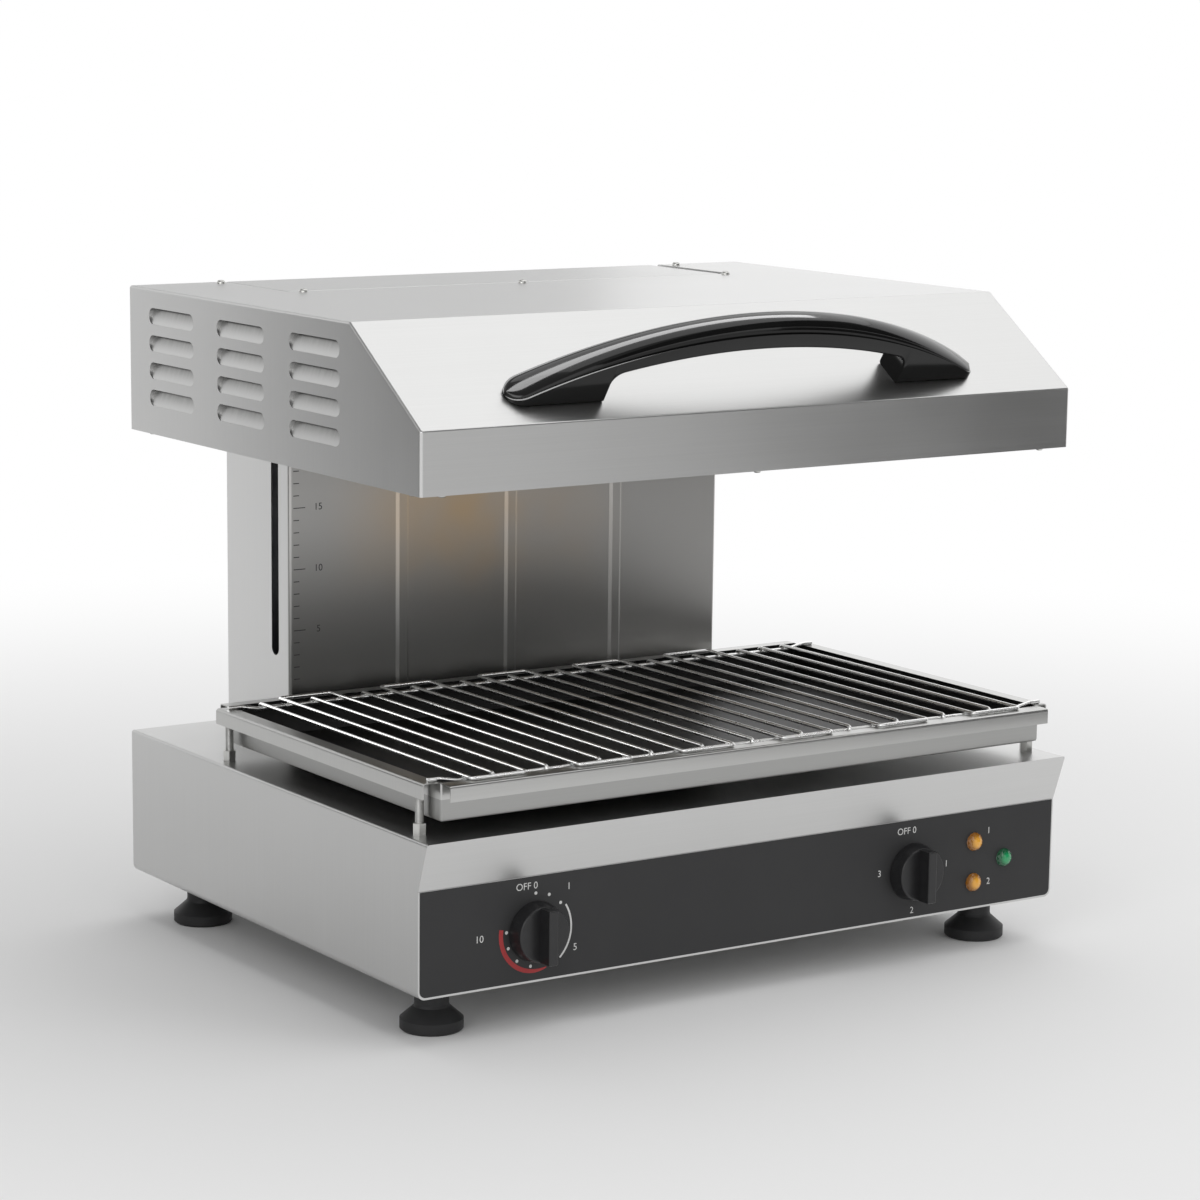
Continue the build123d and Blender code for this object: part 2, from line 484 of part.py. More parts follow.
# Screws round the notch and under the lower edge of the hood
top_places = [(-0.951 * notch_x, notch_y - 7), (0, notch_y - 7), (0.951 * notch_x, notch_y - 7),
              (-notch_x - 9, head_y1 - 16), (notch_x + 9, head_y1 - 16)]
low_places = [(x, head_y0 + 8) for x in (-0.925 * half, 0, 0.925 * half)]
low_places += [(side * (half - 8), y) for side in (-1, 1) for y in (head_y0 + 24, head_y1 - 24)]
hood -= [pin_z(x, y, head_top - 5, head_top + 2, 1.8) for x, y in top_places]
hood -= [pin_z(x, y, HEAD_BOTTOM - 2, HEAD_BOTTOM + 5, 1.6) for x, y in low_places]
save("hood_shell", hood)
save("hood_top_screws", *[Pos(x, y, head_top) * screw(3.6, 6) for x, y in top_places])
save("hood_low_screws", *[Pos(x, y, HEAD_BOTTOM) * Rot(180, 0, 0) * screw(3.0, 6) for x, y in low_places])

# Liner round the notch: a U of sheet between the hood's top and the heater pan
pan_z0 = HEAD_BOTTOM + SHEET
pan_z1 = pan_z0 + 1.0
liner_top = head_top - SHEET
liner = block(-notch_x - 1, notch_x + 1, notch_y - 1, notch_y, pan_z1, liner_top)
liner += block(-notch_x - 13, notch_x + 13, notch_y - 13, notch_y, liner_top - 1, liner_top)
for piece in both(block(notch_x, notch_x + 1, notch_y - 1, head_y1 - SHEET - 1.4, pan_z1, liner_top)):
    liner += piece
for piece in both(block(notch_x, notch_x + 14, notch_y - 1, head_y1 - SHEET - 1.4, liner_top - 1, liner_top)):
    liner += piece
liner -= block(-beam_half, beam_half, slot_y - BEAM_THICK / 2 - 2, slot_y + BEAM_THICK / 2 + 2,
               beam_z0 - 2, beam_z1 + 2)
liner -= [pin_z(x, y, liner_top - 8, liner_top + 2, 1.65) for x, y in top_places]
save("notch_liner", liner)

# Heater pan: the bottom plate of the head with a deep reflector pressed into it
well_x = notch_x - 2.0
well_y0 = head_y0 + 32.0
well_y1 = notch_y - 16.0
well_top = pan_z0 + 48.0
pan = block(SHEET + 1 - half, half - SHEET - 1, head_y0 + SHEET + 1, head_y1 - SHEET - 1, pan_z0, pan_z1)
pan -= block(-notch_x, notch_x, notch_y, head_y1, pan_z0 - 1, pan_z1 + 1)
pan += block(-well_x - 1, well_x + 1, well_y0 - 1, well_y1 + 1, pan_z0, well_top)
pan -= block(-well_x, well_x, well_y0, well_y1, pan_z0 - 1, well_top - 1)
leg_pitch = (well_x - 26.0) / 5.6
leg_xs = [16.0 + leg_pitch * i for i in range(6)]
heater_z = pan_z0 + 22.0
tail_xs = [side * x for side in (-1, 1) for x in (leg_xs[0], leg_xs[-1])]
pan -= [pin_y(x, heater_z, well_y1 - 3, well_y1 + 3, HEATER_RADIUS + 0.3) for x in tail_xs]
bar_ys = [well_y0 + 50.0, well_y1 - 50.0]
bar_z = heater_z - HEATER_RADIUS - BAR_RADIUS - 0.1
pan -= [pin_x(y, bar_z, -well_x - 3, well_x + 3, BAR_RADIUS + 0.1) for y in bar_ys]
pan -= [pin_z(x, y, pan_z0 - 2, pan_z1 + 2, 1.5) for x, y in low_places]
save("heater_pan", pan)

# Heaters: one unbroken tube per side, folded to and fro, both tails leaving through the rear wall
turn = leg_pitch / 2
bend_y0 = well_y0 + turn + 12.0
bend_y1 = well_y1 - turn - 14.0
route = Line((leg_xs[0], well_y1 + 8, heater_z), (leg_xs[0], bend_y0, heater_z))
for i in range(5):
    xa = leg_xs[i]
    xb = leg_xs[i + 1]
    fore = i % 2 == 0
    end_y = bend_y0 if fore else bend_y1
    crest_y = bend_y0 - turn if fore else bend_y1 + turn
    stop_y = well_y1 + 8 if i == 4 else (bend_y1 if fore else bend_y0)
    route += ThreePointArc((xa, end_y, heater_z), ((xa + xb) / 2, crest_y, heater_z), (xb, end_y, heater_z))
    route += Line((xb, end_y, heater_z), (xb, stop_y, heater_z))
tail = Plane(origin=(leg_xs[0], well_y1 + 8, heater_z), z_dir=(0, -1, 0))
heater = sweep(tail * Circle(HEATER_RADIUS), path=route)
save("heater_right", heater)
save("heater_left", mirror(heater, about=Plane.YZ))
save("heater_bars", *[pin_x(y, bar_z, -well_x - 1, well_x + 1, BAR_RADIUS) for y in bar_ys])
wool_y0 = head_y0 + SLOPE_RUN * 0.62
save("insulation", block(-well_x, well_x, wool_y0, well_y1, well_top, well_top + WOOL_THICK))
ceramic = block(0, 30, well_y1 + 1, notch_y - 3, heater_z + 12, heater_z + 26)
save("heater_terminals", *[Pos(side * 0.55 * well_x - 15, 0, 0) * ceramic for side in (-1, 1)])

# Side arms carry the hood from the lifting beam
arm_x = bolt_x - 21.0
arm_z0 = pan_z1
arm_y1 = slot_y - BEAM_THICK / 2
arm = block(arm_x, arm_x + 6, head_y0 + 36, arm_y1, arm_z0, beam_z1 - 4)
arm += block(arm_x, bolt_x + 18, arm_y1 - 6, arm_y1, arm_z0, beam_z1)
arm -= [pin_y(bolt_x, z, arm_y1 - 10, arm_y1 + 5, BOLT_RADIUS + 0.2) for z in bolt_zs]
save("side_arms", *both(arm))
hexagon = RegularPolygon(1.6 * BOLT_RADIUS, 6, major_radius=False)
bolt = pin_y(0, 0, arm_y1 - 6, slot_y + BEAM_THICK / 2 + 10, BOLT_RADIUS)
bolt += Pos(0, arm_y1 - 6, 0) * Rot(90, 0, 0) * extrude(hexagon, 1.3 * BOLT_RADIUS)
bolt += Pos(0, slot_y + BEAM_THICK / 2, 0) * Rot(-90, 0, 0) * extrude(hexagon, 1.6 * BOLT_RADIUS)
save("arm_bolts", *[Pos(side * bolt_x, 0, z) * bolt for side in (-1, 1) for z in bolt_zs])

# Drip tray: a pan with folded hollow rims that stop short of its rounded corners
pan_x = tray_x - RIM_WIDTH
pan_y0 = tray_y0 + RIM_WIDTH
pan_y1 = tray_y1 - RIM_WIDTH
tray_z = rim_z - TRAY_HEIGHT
tub = block(-pan_x - 1, pan_x + 1, pan_y0 - 1, pan_y1 + 1, tray_z, rim_z)
tub = fillet(tub.edges().filter_by(Axis.Z), 9.0)
void = block(-pan_x, pan_x, pan_y0, pan_y1, tray_z + 1, rim_z + 5)
void = fillet(void.edges().filter_by(Axis.Z), 8.0)
tray = tub - void
fold = make_face(Polyline((0, 0), (RIM_WIDTH, 0), (RIM_WIDTH, -RIM_HEIGHT), (RIM_WIDTH - 1, -RIM_HEIGHT),
                          (RIM_WIDTH - 1, -1), (0, -1), close=True))
fold = fillet(fold.vertices().sort_by_distance((RIM_WIDTH, 0))[0], 2.4)
fold = fillet(fold.vertices().sort_by_distance((RIM_WIDTH - 1, -1))[0], 1.4)
side_fold = Pos(pan_x, tray_y1 - RIM_WIDTH - 4, rim_z) * extrude(
    Rot(90, 0, 0) * fold, tray_y1 - tray_y0 - 2 * RIM_WIDTH - 8, dir=(0, -1, 0))
for piece in both(side_fold):
    tray += piece
for y, turn_z in ((pan_y0, -90), (pan_y1, 90)):
    end_fold = extrude(Rot(90, 0, 0) * fold, 2 * pan_x - 16, dir=(0, -1, 0))
    shift = pan_x - 8 if turn_z < 0 else 8 - pan_x
    tray += Pos(shift, y, rim_z) * Rot(0, 0, turn_z) * end_fold
save("drip_tray", tray)

# Grate: hairpins of wire, closed by turns at the front and at the rear, on two cross rods that dip between the rims
rod_r = WIRE_RADIUS + 0.1
dip = 3.0
grate_rod_z = rim_z + rod_r - dip
wire_z = grate_rod_z + rod_r + WIRE_RADIUS + 0.02
first_x = WIRE_EDGE - tray_x
wire_pitch = -2 * first_x / (WIRE_COUNT - 1)
wire_xs = [first_x + wire_pitch * i for i in range(WIRE_COUNT)]
front_y = tray_y0 + 8.5
front_rod_y = front_y + 12.0
rear_rod_y = tray_y1 - RIM_WIDTH - 14.0
rear_y = rear_rod_y + 15.0
hook = 3.6 * WIRE_RADIUS
odd_y = rear_rod_y + rod_r + WIRE_RADIUS + 0.6
even_y = front_rod_y - rod_r - WIRE_RADIUS - 0.6


def wire(points, radius, bend):
    """A round wire along a route with rounded corners."""
    path = FilletPolyline(*points, radius=bend)
    return sweep(Plane(origin=path @ 0, z_dir=path % 0) * Circle(radius), path=path)


wires = []
for i in range(0, WIRE_COUNT - 2, 4):
    xa = wire_xs[i]
    xb = wire_xs[i + 2]
    wires.append(wire([(xa, odd_y, wire_z - hook), (xa, odd_y, wire_z), (xa, front_y, wire_z),
                       (xb, front_y, wire_z), (xb, odd_y, wire_z), (xb, odd_y, wire_z - hook)], WIRE_RADIUS, 3.0))
for i in range(1, WIRE_COUNT - 3, 4):
    xa = wire_xs[i]
    xb = wire_xs[i + 2]
    wires.append(wire([(xa, even_y, wire_z - hook), (xa, even_y, wire_z), (xa, rear_y, wire_z),
                       (xb, rear_y, wire_z), (xb, even_y, wire_z), (xb, even_y, wire_z - hook)], WIRE_RADIUS, 3.0))
single = wire_xs[-2]
wires.append(wire([(single, even_y, wire_z - hook), (single, even_y, wire_z), (single, odd_y, wire_z),
                   (single, odd_y, wire_z - hook)], WIRE_RADIUS, 3.0))
save("grate_wires", *wires)
rest_x = tray_x - 0.42 * RIM_WIDTH
knee_x = -first_x + 5.0
rods = []
for y in (front_rod_y, rear_rod_y):
    end_z = grate_rod_z + dip
    rods.append(wire([(-rest_x, y, end_z), (-rest_x + 10, y, end_z), (-knee_x, y, grate_rod_z),
                      (knee_x, y, grate_rod_z), (rest_x - 10, y, end_z), (rest_x, y, end_z)], rod_r, 4.0))
save("grate_rods", *rods)
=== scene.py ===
import bmesh
import bpy
import numpy as np
from mathutils import Matrix, Vector


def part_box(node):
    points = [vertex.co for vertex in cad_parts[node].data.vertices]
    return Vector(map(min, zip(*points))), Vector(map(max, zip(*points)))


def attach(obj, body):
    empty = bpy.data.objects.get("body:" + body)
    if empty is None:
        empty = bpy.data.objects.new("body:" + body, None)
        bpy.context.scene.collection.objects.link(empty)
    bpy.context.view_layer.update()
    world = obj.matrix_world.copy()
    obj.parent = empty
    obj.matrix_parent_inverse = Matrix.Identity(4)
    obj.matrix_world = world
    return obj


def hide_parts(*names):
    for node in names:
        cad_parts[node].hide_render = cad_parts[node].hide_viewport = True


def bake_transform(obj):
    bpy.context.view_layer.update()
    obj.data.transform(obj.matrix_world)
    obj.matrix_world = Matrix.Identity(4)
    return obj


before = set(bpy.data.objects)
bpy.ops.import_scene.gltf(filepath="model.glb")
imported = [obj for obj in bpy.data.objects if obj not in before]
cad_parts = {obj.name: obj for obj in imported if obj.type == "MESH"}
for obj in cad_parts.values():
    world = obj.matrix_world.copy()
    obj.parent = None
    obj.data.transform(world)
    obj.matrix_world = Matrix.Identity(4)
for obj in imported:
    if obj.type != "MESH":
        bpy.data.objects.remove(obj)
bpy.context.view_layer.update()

# Camera: a long lens in front of the grill's left corner, a little above the grate.
# It looks at the middle of the cooking space, as a catalogue picture does.
photo_side = 1200.0
focal, middle_u, middle_v = 3595.72, 590.06, 676.34
turn, lift, roll = np.radians([-33.65, 10.86, 0.66])
aim = np.array([0.0, 0.007, 0.2112])
away = 2.92876
back = np.array([np.sin(turn) * np.cos(lift), -np.cos(turn) * np.cos(lift), np.sin(lift)])
level = np.array([np.cos(turn), np.sin(turn), 0.0])
upright = np.cross(back, level)
pose = np.eye(4)
pose[:3, 0] = level * np.cos(roll) + upright * np.sin(roll)
pose[:3, 1] = upright * np.cos(roll) - level * np.sin(roll)
pose[:3, 2] = back
pose[:3, 3] = aim + back * away
camera = bpy.data.objects.new("camera", bpy.data.cameras.new("camera"))
bpy.context.scene.collection.objects.link(camera)
camera.matrix_world = Matrix(pose.tolist())
camera.data.sensor_width = 36.0
camera.data.lens = focal * camera.data.sensor_width / photo_side
camera.data.shift_x = 0.5 - middle_u / photo_side
camera.data.shift_y = middle_v / photo_side - 0.5
bpy.context.scene.camera = camera
bpy.context.scene.view_settings.view_transform = "Standard"


# Studio: a pale floor that fades to white, a white surround, large soft lights and grey cards.
# Metal sees the surround and the cards, which shade its sides; the floor keeps the grill's shadow.
class Shade:
    """One socket of a node tree. Arithmetic on it adds Math nodes, and add() makes any other node."""

    def __init__(self, tree, socket=None):
        self.tree = tree
        self.socket = socket

    def add(self, kind, settings=None, values=None, out=0):
        """One node: its settings first, then the values or links of its sockets; gives one of its outputs."""
        made = self.tree.nodes.new("ShaderNode" + kind)
        for key, value in (settings or {}).items():
            setattr(made, key, value)
        for key, value in (values or {}).items():
            if isinstance(value, Shade):
                self.tree.links.new(value.socket, made.inputs[key])
            else:
                made.inputs[key].default_value = value
        return Shade(self.tree, made.outputs[out])

    def math(self, operation, *others):
        """A Math node with this value as its first term."""
        return self.add("Math", {"operation": operation}, dict(enumerate((self, *others))))

    def __add__(self, other):
        return self.math("ADD", other)

    def __sub__(self, other):
        return self.math("SUBTRACT", other)

    def __rsub__(self, other):
        return self.math("MULTIPLY_ADD", -1.0, other)

    def __mul__(self, other):
        return self.math("MULTIPLY", other)

    def __gt__(self, other):
        return self.math("GREATER_THAN", other)

    def __lt__(self, other):
        return self.math("LESS_THAN", other)

    __radd__ = __add__
    __rmul__ = __mul__

    def ramp(self, start, end, low=0.0, high=1.0):
        """A smooth step from low at start to high at end."""
        return self.add("MapRange", {"interpolation_type": "SMOOTHSTEP"},
                        {"Value": self, "From Min": start, "From Max": end, "To Min": low, "To Max": high})

    def blend(self, first, second):
        """A colour between two, with this value as the share of the second."""
        return self.add("Mix", {"data_type": "RGBA"}, {0: self, 6: first, 7: second}, out=2)

    def part(self, letter):
        """One coordinate of a vector."""
        return self.add("SeparateXYZ", None, {0: self}, out=letter)

    def noise(self, scale, detail=3.0, rough=0.6):
        """Noise from 0 to 1, with its own scale along X, Y and Z in waves per metre."""
        stretched = self.add("Mapping", None, {"Vector": self, "Scale": scale})
        return self.add("TexNoise", None, {"Vector": stretched, "Scale": 1.0, "Detail": detail, "Roughness": rough})

    def bump(self, strength, depth):
        """A normal from this value as a height; depth is in metres."""
        return self.add("Bump", None, {"Strength": strength, "Distance": depth, "Height": self}, out="Normal")


def surface(name, grids, smooth=True, closed=True):
    """A mesh from grids of points: each cell of a grid is a face, and points that meet are merged."""
    points, faces, start = [], [], 0
    for grid in grids:
        rows, cols = grid.shape[:2]
        index = start + np.arange(rows * cols).reshape(rows, cols)
        cells = np.stack([index[:-1, :-1], index[:-1, 1:], index[1:, 1:], index[1:, :-1]], axis=-1)
        points.append(grid.reshape(-1, 3))
        faces.append(cells.reshape(-1, 4))
        start += rows * cols
    mesh = bpy.data.meshes.new(name)
    mesh.from_pydata(np.concatenate(points).tolist(), [], np.concatenate(faces).tolist())
    edit = bmesh.new()
    edit.from_mesh(mesh)
    bmesh.ops.remove_doubles(edit, verts=edit.verts, dist=1e-6)
    bmesh.ops.dissolve_degenerate(edit, edges=edit.edges, dist=1e-7)
    if closed:
        bmesh.ops.recalc_face_normals(edit, faces=edit.faces)
    edit.to_mesh(mesh)
    edit.free()
    mesh.polygons.foreach_set("use_smooth", np.full(len(mesh.polygons), smooth))
    return mesh


world = bpy.data.worlds.new("surround")
bpy.context.scene.world = world
world.use_nodes = True
air = Shade(world.node_tree)
seen = air.add("LightPath", out="Is Camera Ray")
seen = seen.math("MAXIMUM", air.add("LightPath", out="Is Glossy Ray"))
seen = seen.math("MAXIMUM", air.add("LightPath", out="Is Transmission Ray"))
sky = world.node_tree.nodes["Background"]
sky.inputs["Color"].default_value = (1.0, 1.0, 1.0, 1.0)
world.node_tree.links.new((0.52 * seen + 0.48).socket, sky.inputs["Strength"])
reach = np.linspace(-9.0, 9.0, 25)
floor_x, floor_y = np.meshgrid(reach, reach)
floor_mesh = surface("floor", [np.stack([floor_x, floor_y, 0.0 * floor_x], axis=-1)], closed=False)
floor = bpy.data.objects.new("floor", floor_mesh)
bpy.context.scene.collection.objects.link(floor)
floor_paint = bpy.data.materials.new("floor_paint")
floor_paint.use_nodes = True
ground = Shade(floor_paint.node_tree)
ground_at = ground.add("TexCoord", out="Object")
fade = ground.add("VectorMath", {"operation": "LENGTH"}, {0: ground_at}, out="Value").ramp(0.55, 1.9)
matt = ground.add("BsdfDiffuse", None, {"Color": (0.83, 0.83, 0.83, 1.0)})
glow = ground.add("Emission", None, {"Color": (1.0, 1.0, 1.0, 1.0), "Strength": 1.0})
mirrored = ground.add("LightPath", out="Is Glossy Ray")
shown = ground.add("LightPath", out="Is Camera Ray").math("MAXIMUM", mirrored)
shown = shown.math("MAXIMUM", ground.add("LightPath", out="Is Transmission Ray"))
ahead = ground_at.part("Y").ramp(-0.15, -0.35) * mirrored
white = ground.add("MixShader", None, {0: fade.math("MAXIMUM", 0.6 * ahead) * shown, 1: matt, 2: glow})
floor_paint.node_tree.links.new(white.socket, floor_paint.node_tree.nodes["Material Output"].inputs["Surface"])
floor_mesh.materials.append(floor_paint)


def soft_light(label, spot, facing, size, power, *only):
    """A square area light, unseen by the camera, that faces a point; with pieces given it lights these alone."""
    lamp = bpy.data.lights.new(label, "AREA")
    lamp.size = size
    lamp.energy = power
    stand = bpy.data.objects.new(label, lamp)
    bpy.context.scene.collection.objects.link(stand)
    stand.location = spot
    stand.rotation_euler = (Vector(facing) - Vector(spot)).to_track_quat("-Z", "Y").to_euler()
    stand.visible_camera = False
    if only:
        lit = bpy.data.collections.new("lit_by_" + label)
        for piece in only:
            lit.objects.link(piece)
        stand.light_linking.receiver_collection = lit
    return stand


grill_middle = (0.0, 0.0, 0.28)
soft_light("top_light", (0.9, 0.0, 3.0), grill_middle, 4.0, 56.0)
soft_light("left_light", (-2.4, -1.7, 1.7), grill_middle, 1.5, 14.0)
soft_light("right_light", (1.5, -2.6, 1.9), grill_middle, 1.5, 14.0)
soft_light("rear_light", (1.7, 2.7, 1.6), grill_middle, 2.2, 4.0)
grey_cards = {"ceiling_card": ((0.0, 0.0, 3.5), (0.0, 0.0, 0.3), 9.0, 9.0, 0.30),
              "left_card": ((-1.0, 0.66, 0.40), (-0.3, 0.66, 0.40), 1.0, 0.62, 0.06),
              "right_card": ((1.10, -1.05, 0.33), (0.3, -0.2, 0.33), 0.8, 0.62, 0.06),
              "front_card": ((0.50, -1.50, 0.22), (-0.05, -0.2, 0.40), 1.0, 0.55, 0.62),
              "rear_card": ((0.58, 1.80, 1.02), (-0.1, 0.0, 0.52), 1.1, 0.5, 0.50),
              "high_card": ((0.89, -1.32, 1.26), (0.0, -0.21, 0.53), 2.4, 1.1, 0.04)}
for label, (spot, facing, wide, high, grey) in grey_cards.items():
    turned = (Vector(facing) - Vector(spot)).to_track_quat("Z", "Y").to_matrix()
    corner_x, corner_y = np.meshgrid([-0.5 * wide, 0.5 * wide], [-0.5 * high, 0.5 * high])
    flat = np.stack([corner_x, corner_y, 0.0 * corner_x], axis=-1) @ np.array(turned).T + np.array(spot)
    card = bpy.data.objects.new(label, surface(label, [flat], closed=False))
    bpy.context.scene.collection.objects.link(card)
    card.visible_camera = card.visible_diffuse = card.visible_shadow = False
    card_paint = bpy.data.materials.new(label)
    card_paint.use_nodes = True
    grey_glow = Shade(card_paint.node_tree).add("Emission", None, {"Color": (grey, grey, grey, 1.0), "Strength": 1.0})
    card_out = card_paint.node_tree.nodes["Material Output"]
    card_paint.node_tree.links.new(grey_glow.socket, card_out.inputs["Surface"])
    card.data.materials.append(card_paint)


# Base cabinet: folded stainless sheet with a brushed grain, closed by floor and rear plates of the same.
# The grain runs along the front and the top, and upright on the two sides.
def finish(name, fixed, varied):
    """A material: fixed values go on the shader's own sockets, varied(place) gives fields for the others."""
    material = bpy.data.materials.new(name)
    material.use_nodes = True
    shader = material.node_tree.nodes["Principled BSDF"]
    for label, value in fixed.items():
        shader.inputs[label].default_value = value
    place = Shade(material.node_tree).add("TexCoord", out="Object")
    for label, field in varied(place).items():
        material.node_tree.links.new(field.socket, shader.inputs[label])
    return material


def dress(material, *names):
    """Give CAD nodes their finish."""
    for name in names:
        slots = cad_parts[name].data.materials
        slots.clear()
        slots.append(material)


def brushed(dark, light, gloss):
    """Sheet steel: streaks along X, upright where a face looks sideways; tone, gloss and height follow them."""
    def varied(place):
        side = place.add("TexCoord", out="Normal").part("X").math("ABSOLUTE") > 0.75
        along = place.noise((6.0, 1100.0, 1100.0), 2.0)
        across = place.noise((1100.0, 1100.0, 6.0), 2.0)
        streak = along * (1 - side) + across * side
        cloud = place.noise((6.0, 6.0, 6.0), 2.0)
        tone = 0.5 * streak + 0.5 * cloud
        rough = 0.06 * (streak - 0.5) + 0.09 * (cloud - 0.5) + gloss
        return {"Base Color": tone.blend(dark, light), "Roughness": rough, "Normal": streak.bump(0.05, 0.0003)}
    return varied


sheet_steel = finish("sheet_steel", {"Metallic": 1.0},
                     brushed((0.54, 0.54, 0.535, 1.0), (0.64, 0.64, 0.635, 1.0), 0.33))
dress(sheet_steel, "base_casing", "base_rear", "front_panel", "floor_plate")

# Feet: black moulded pads that screw into nuts on the floor plate.
# Their skin is a fine matt grain from the mould.
foot_skin = finish("foot_skin", {"Specular IOR Level": 0.4}, lambda place: {
    "Base Color": place.noise((60.0, 60.0, 60.0)).blend((0.010, 0.010, 0.011, 1.0), (0.024, 0.024, 0.025, 1.0)),
    "Roughness": 0.42 + 0.2 * place.noise((40.0, 40.0, 40.0)),
    "Normal": place.noise((1500.0, 1500.0, 1500.0)).bump(0.15, 0.0002)})
dress(foot_skin, "foot_front_left", "foot_front_right", "foot_rear_left", "foot_rear_right")

# Front film: a dark grey printed foil on the steel panel, with a fine leather-like grain.
# Its legends are screen-printed: white figures and dots, a thin white arc and a thick red one.
film_skin = finish("film_skin", {"Specular IOR Level": 0.3}, lambda place: {
    "Base Color": place.noise((14.0, 14.0, 14.0)).blend((0.028, 0.028, 0.029, 1.0), (0.036, 0.036, 0.037, 1.0)),
    "Roughness": 0.40 + 0.16 * place.noise((30.0, 30.0, 30.0)),
    "Normal": place.noise((1800.0, 1800.0, 1800.0)).bump(0.12, 0.0001)})
dress(film_skin, "panel_film")
white_ink = finish("white_ink", {"Specular IOR Level": 0.3}, lambda place: {
    "Base Color": place.noise((900.0, 900.0, 900.0)).blend((0.55, 0.55, 0.54, 1.0), (0.80, 0.80, 0.79, 1.0)),
    "Roughness": 0.5 + 0.1 * place.noise((300.0, 300.0, 300.0))})
red_ink = finish("red_ink", {"Specular IOR Level": 0.3}, lambda place: {
    "Base Color": place.noise((900.0, 900.0, 900.0)).blend((0.34, 0.035, 0.040, 1.0), (0.46, 0.055, 0.055, 1.0)),
    "Roughness": 0.5 + 0.1 * place.noise((300.0, 300.0, 300.0))})
ink_lift, figure_height = 0.00008, 0.0052
film_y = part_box("panel_film")[0].y
print_y = film_y - ink_lift
timer_x, control_z = -0.1992, 0.076957


def show(name, mesh, material, body, slot, *nodes):
    """Link a new piece, give it its finish and let it ride on its body in place of the CAD nodes named."""
    piece = bpy.data.objects.new(name, mesh)
    bpy.context.scene.collection.objects.link(piece)
    mesh.materials.append(material)
    if body:
        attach(piece, body)
    if nodes:
        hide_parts(*nodes)
    return piece


def band(x, z, radius, width, start, end, steps=40):
    """A flat arc facing the front: clock angle along one side of the grid, radius along the other."""
    clock = np.radians(np.linspace(start, end, steps))[:, None]
    out = radius + np.linspace(-0.5, 0.5, 2)[None, :] * np.broadcast_to(width, (steps,))[:, None]
    return np.stack([x + out * np.sin(clock), np.full(out.shape, print_y), z + out * np.cos(clock)], axis=-1)


figure_share = 0.69


def figures(name, words, height, x, y, z, material, body, slot):
    """Plain figures as flat faces that look to the front, centred on a point; their height is a share of the size."""
    curve = bpy.data.curves.new(name, "FONT")
    curve.body = words
    curve.size = height / figure_share
    curve.align_x = "CENTER"
    curve.align_y = "CENTER"
    draft = bpy.data.objects.new(name + "_draft", curve)
    mesh = bpy.data.meshes.new_from_object(draft)
    mesh.transform(Matrix.Translation((x, y, z)) @ Matrix.Rotation(np.pi / 2, 4, "X"))
    bpy.data.objects.remove(draft)
    mesh.materials.clear()
    return show(name, mesh, material, body, slot)


dots = [(0, 0.0290), (24, 0.0290), (49, 0.0290), (189, 0.0265), (218, 0.0262), (247, 0.0258), (275, 0.0255)]
dot_r = 0.0013
marks = [band(timer_x + far * np.sin(np.radians(clock)), control_z + far * np.cos(np.radians(clock)),
              0.5 * dot_r, dot_r, 0, 360, 17) for clock, far in dots]
marks.append(band(timer_x, control_z, 0.0315, 0.0015, 57, 137))
show("dial_marks", surface("dial_marks", marks, closed=False), white_ink, "base", "panel_grey")
swelling = 0.0036 - 0.0028 * np.linspace(1.0, 0.0, 40) ** 6
red_arc = surface("dial_red_arc", [band(timer_x, control_z, 0.0302, swelling, 161, 279)], closed=False)
show("dial_red_arc", red_arc, red_ink, "base", "panel_grey")
legends = {"timer_0": ("OFF 0", -0.2070, 0.1118), "timer_1": ("1", -0.1700, 0.1075),
           "timer_5": ("5", -0.1640, 0.0600), "timer_10": ("10", -0.2480, 0.0770),
           "switch_0": ("OFF 0", 0.1490, 0.1105), "switch_1": ("1", 0.1900, 0.0790),
           "switch_2": ("2", 0.1560, 0.0452), "switch_3": ("3", 0.1225, 0.0790),
           "lamp_1": ("1", 0.2330, 0.1010), "lamp_2": ("2", 0.2340, 0.0590)}
for label, (words, x, z) in legends.items():
    figures("print_" + label, words, figure_height, x, print_y, z, white_ink, "base", "panel_grey")

# Knobs: black phenolic mouldings with a straight grip, pressed on steel shafts of the timer and the switch.
# Their faces are polished by hands, and the edge of the grip catches the light.
knob_skin = finish("knob_skin", {"Specular IOR Level": 0.5}, lambda place: {
    "Base Color": place.noise((90.0, 90.0, 90.0)).blend((0.009, 0.009, 0.010, 1.0), (0.020, 0.020, 0.021, 1.0)),
    "Roughness": 0.24 + 0.22 * place.noise((120.0, 120.0, 120.0)),
    "Normal": place.noise((1400.0, 1400.0, 1400.0)).bump(0.08, 0.0001)})
dress(knob_skin, "timer_knob", "selector_knob")
case_plastic = finish("case_plastic", {"Specular IOR Level": 0.4}, lambda place: {
    "Base Color": place.noise((80.0, 80.0, 80.0)).blend((0.020, 0.020, 0.021, 1.0), (0.045, 0.045, 0.046, 1.0)),
    "Roughness": 0.45 + 0.2 * place.noise((60.0, 60.0, 60.0)),
    "Normal": place.noise((900.0, 900.0, 900.0)).bump(0.1, 0.0002)})
dress(case_plastic, "timer_body", "selector_body", "lamp_holders", "cable_gland", "pulley_left", "pulley_right")

# Pilot lamps: moulded lenses with a jewel of flat facets, two amber and one green.
# Each facet row is turned by half a step against the one below, and the lit plastic glows a little.
lens_rings = np.array([[7.5, 0.0], [7.5, 1.1], [6.6, 2.7], [5.0, 4.2], [2.9, 5.2], [0.9, 5.6], [0.0, 5.6]]) * 0.001


